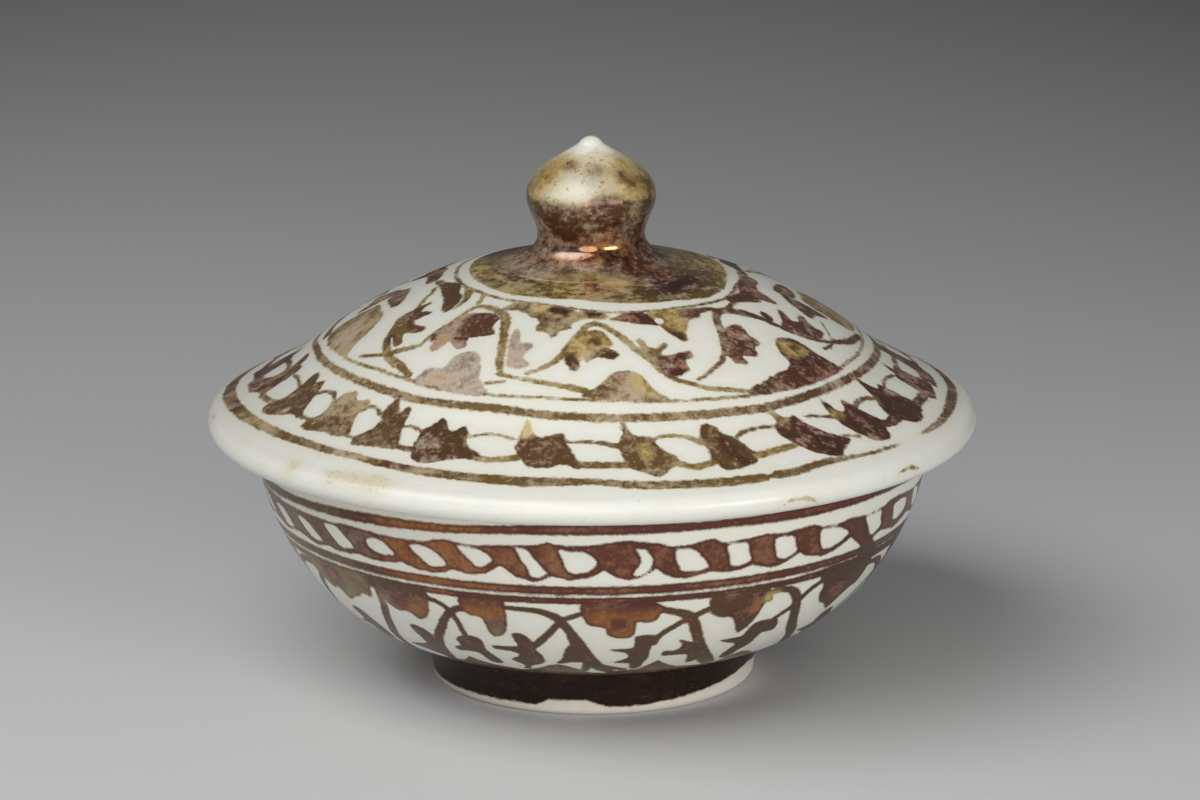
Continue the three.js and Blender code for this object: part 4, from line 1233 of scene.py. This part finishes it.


# Patches on the knob, each placed by its rise above the crown. Two of them, at turns -12 and -25 high on the
# knob, lay so little paint that the cone's front left goes pale: a painted highlight where the key lamp
# lights it.
# Two more, at turns 8 and -27 low on the neck, lay paler copper and purple where the lamps' glints fall, so
# the paint there is partly a painted highlight.
KNOB_PATCHES_AND_PAINTED_HIGHLIGHTS = [
    (-12, 16.6, 26, 3, BROWN + 0.1, 0.14), (-25, 14.8, 22, 1, BROWN, 0.08), (-58, 18, 14, 3, OLIVE, 0.5),
    (58, 18, 14, 3, OLIVE, 0.5), (17, 13.6, 14, 1.3, PURPLE, 1.05), (42, 11, 8, 2.6, UMBER, 0.5),
    (20, 7, 16, 2, COPPER, 0.66), (-20, 6.4, 18, 1.2, BRONZE, 0.85), (8, 3.2, 44, 1.6, COPPER, 0.66),
    (-27, 2, 20, 1.5, PURPLE, 0.45), (38, 18.6, 7, 1.2, BROWN, 0.8), (46, 17, 6, 1, BROWN, 0.7),
    (4, 19.8, 10, 0.9, PURPLE, 0.5), (-34, 20.4, 12, 0.7, BROWN, 0.8), (-76, 16, 13, 3, UMBER, 0.7),
    (74, 15.6, 17, 3.2, RUSSET, 0.98), (-5, 10, 20, 2, BROWN + 0.1, 0.86), (-70, 3, 26, 2, UMBER, 0.7),
]


def make_knob(finish):
    points = knob_outline()
    knob = turn_piece("lustred_knob", points, KNOB_SIDES)
    brush = Painting(knob, points, LID_ZERO)
    turn, rise = brush.turn, brush.height - CROWN
    tip = 22.4 + 0.5 * np.sin(np.radians(turn * 2 + 60)) + 0.25 * np.sin(np.radians(turn * 5))
    brush.edge = np.clip(rise - tip, -4, 4)
    ragged = 13.4 + 0.8 * np.sin(np.radians(turn * 3 + 40)) + 0.4 * np.sin(np.radians(turn * 7))
    cone = np.clip((rise - ragged) / 1.2 + 0.5, 0, 1)
    neck = np.clip((6.5 - rise) / 2, 0, 1)
    brush.tone = UMBER + 0.34 + neck * 0.26
    brush.body = 0.82 - 0.5 * cone - 0.2 * np.clip((rise - 19.5) / 3, 0, 1)
    brush.tone += (OLIVE + 0.06 - brush.tone) * cone
    flare = np.clip((brush.radius - KNOB_NECK_RADIUS - 1) / 5, 0, 1) * (rise < 4)
    # Towards its foot the knob takes the disc's paint, painted sheen included.
    disc_tone_and_sheen, disc_body = disc_paint_and_sheen(turn, brush.along)
    brush.tone += (disc_tone_and_sheen - brush.tone) * flare
    brush.body += (disc_body - brush.body) * flare
    brush.tone, brush.body = blend_patches(KNOB_PATCHES_AND_PAINTED_HIGHLIGHTS, turn, rise, brush.tone, brush.body)
    brush.shine = np.clip((14.5 - rise) / 2, 0.2, 0.8) - 0.3 * flare
    brush.shine += np.exp(-((turn / 60) ** 2) - ((rise - 3) / 2.2) ** 2) * 0.8
    brush.finish()
    return dress(knob, finish, "lid", "lid_knob")


def dress(piece, finish, body, node):
    piece.data.materials.append(finish)
    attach(piece, body)
    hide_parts(node)
    return piece


# Stage, light and camera

# The floor's near and far colours; the darker far one is painted falloff of light.
FLOOR_NEAR = (0.65, 0.655, 0.66)
FLOOR_FAR_SHADED = (0.212, 0.212, 0.21)

# The lights, as name, place in metres, width, height and power
LIGHTS = [
    ("key", (-0.49, -0.46, 0.92), 1.4, 0.7, 8.1),
    ("side", (0.85, -0.95, 0.29), 0.7, 0.4, 6.2),
    ("front", (-0.15, -1.3, 0.34), 0.9, 0.9, 5.7),
]
LIT_PLACE = (0, 0, 0.06)


def make_floor():
    """The floor's colour darkens away from the viewer and towards the right: a painted falloff of the lamps'
    light.
    """
    deselect_all()
    bpy.ops.mesh.primitive_plane_add(size=12, location=(0, 0, 0))
    floor = bpy.context.object
    floor.name = "floor"
    surface = Surface("floor_with_painted_falloff", Roughness=0.8)
    side, away = (surface.node("ShaderNodeSeparateXYZ", {}, {0: surface.place}, axis) for axis in "XY")
    dimmer = away * (0.88 + side * side * 4.6) + side * 0.4
    surface.set(Base_Color=surface.mix(dimmer.clamp(), FLOOR_NEAR, FLOOR_FAR_SHADED))
    floor.data.materials.append(surface.material)


def aim(item, target):
    item.rotation_euler = (Vector(target) - item.location).to_track_quat("-Z", "Y").to_euler()


def make_light(name, place, width, height, power):
    deselect_all()
    bpy.ops.object.light_add(type="AREA", location=place)
    light = bpy.context.object
    light.name = name
    light.data.shape = "ELLIPSE"
    light.data.size, light.data.size_y = width, height
    light.data.energy = power
    aim(light, LIT_PLACE)


CAMERA_RISE = math.radians(14.4)
CAMERA_DISTANCE = 1.289
CAMERA_TARGET = (0.0017, 0, 0.0602)
CAMERA_ROLL = math.radians(-0.25)


def make_camera():
    deselect_all()
    back = (0, -math.cos(CAMERA_RISE), math.sin(CAMERA_RISE))
    place = [t + CAMERA_DISTANCE * b for t, b in zip(CAMERA_TARGET, back)]
    bpy.ops.object.camera_add(location=place)
    camera = bpy.context.object
    camera.name = "camera"
    camera.data.lens = 180
    camera.data.sensor_width = 36
    camera.data.clip_start, camera.data.clip_end = 0.05, 30
    aim(camera, CAMERA_TARGET)
    camera.rotation_euler.rotate_axis("Z", CAMERA_ROLL)
    bpy.context.scene.camera = camera


def make_world():
    world = bpy.context.scene.world or bpy.data.worlds.new("studio")
    bpy.context.scene.world = world
    world.use_nodes = True
    world.node_tree.nodes["Background"].inputs["Color"].default_value = (0.5, 0.5, 0.5, 1)
    world.node_tree.nodes["Background"].inputs["Strength"].default_value = 0.23
    bpy.context.scene.view_settings.view_transform = "Standard"


make_camera()
make_world()
make_floor()
for light in LIGHTS:
    make_light(*light)

make_lid(lustre_finish(
    "white_glaze_with_brown_lustre", mottle=2.4, shading=0.8, streaked=0.9, speckled=0.3, flecked=0.4,
    fray=0.5, wander_size=1.3,
))
make_bowl(lustre_finish("white_glaze_with_copper_lustre", mottle=0.7, wash=0.2, shading=0.35, contour=0.35))
make_flange(plain_glaze())
make_foot(lustre_finish(
    "foot_lustre_and_bare_edge", mottle=0.7, wash=0.8, shading=0.5, streaked=0.5, wander_size=0.9,
    bare=clay_colour,
))
make_knob(lustre_finish("knob_lustre", mottle=1.6, streaked=0.35, speckled=0.6, wander_size=1.6))
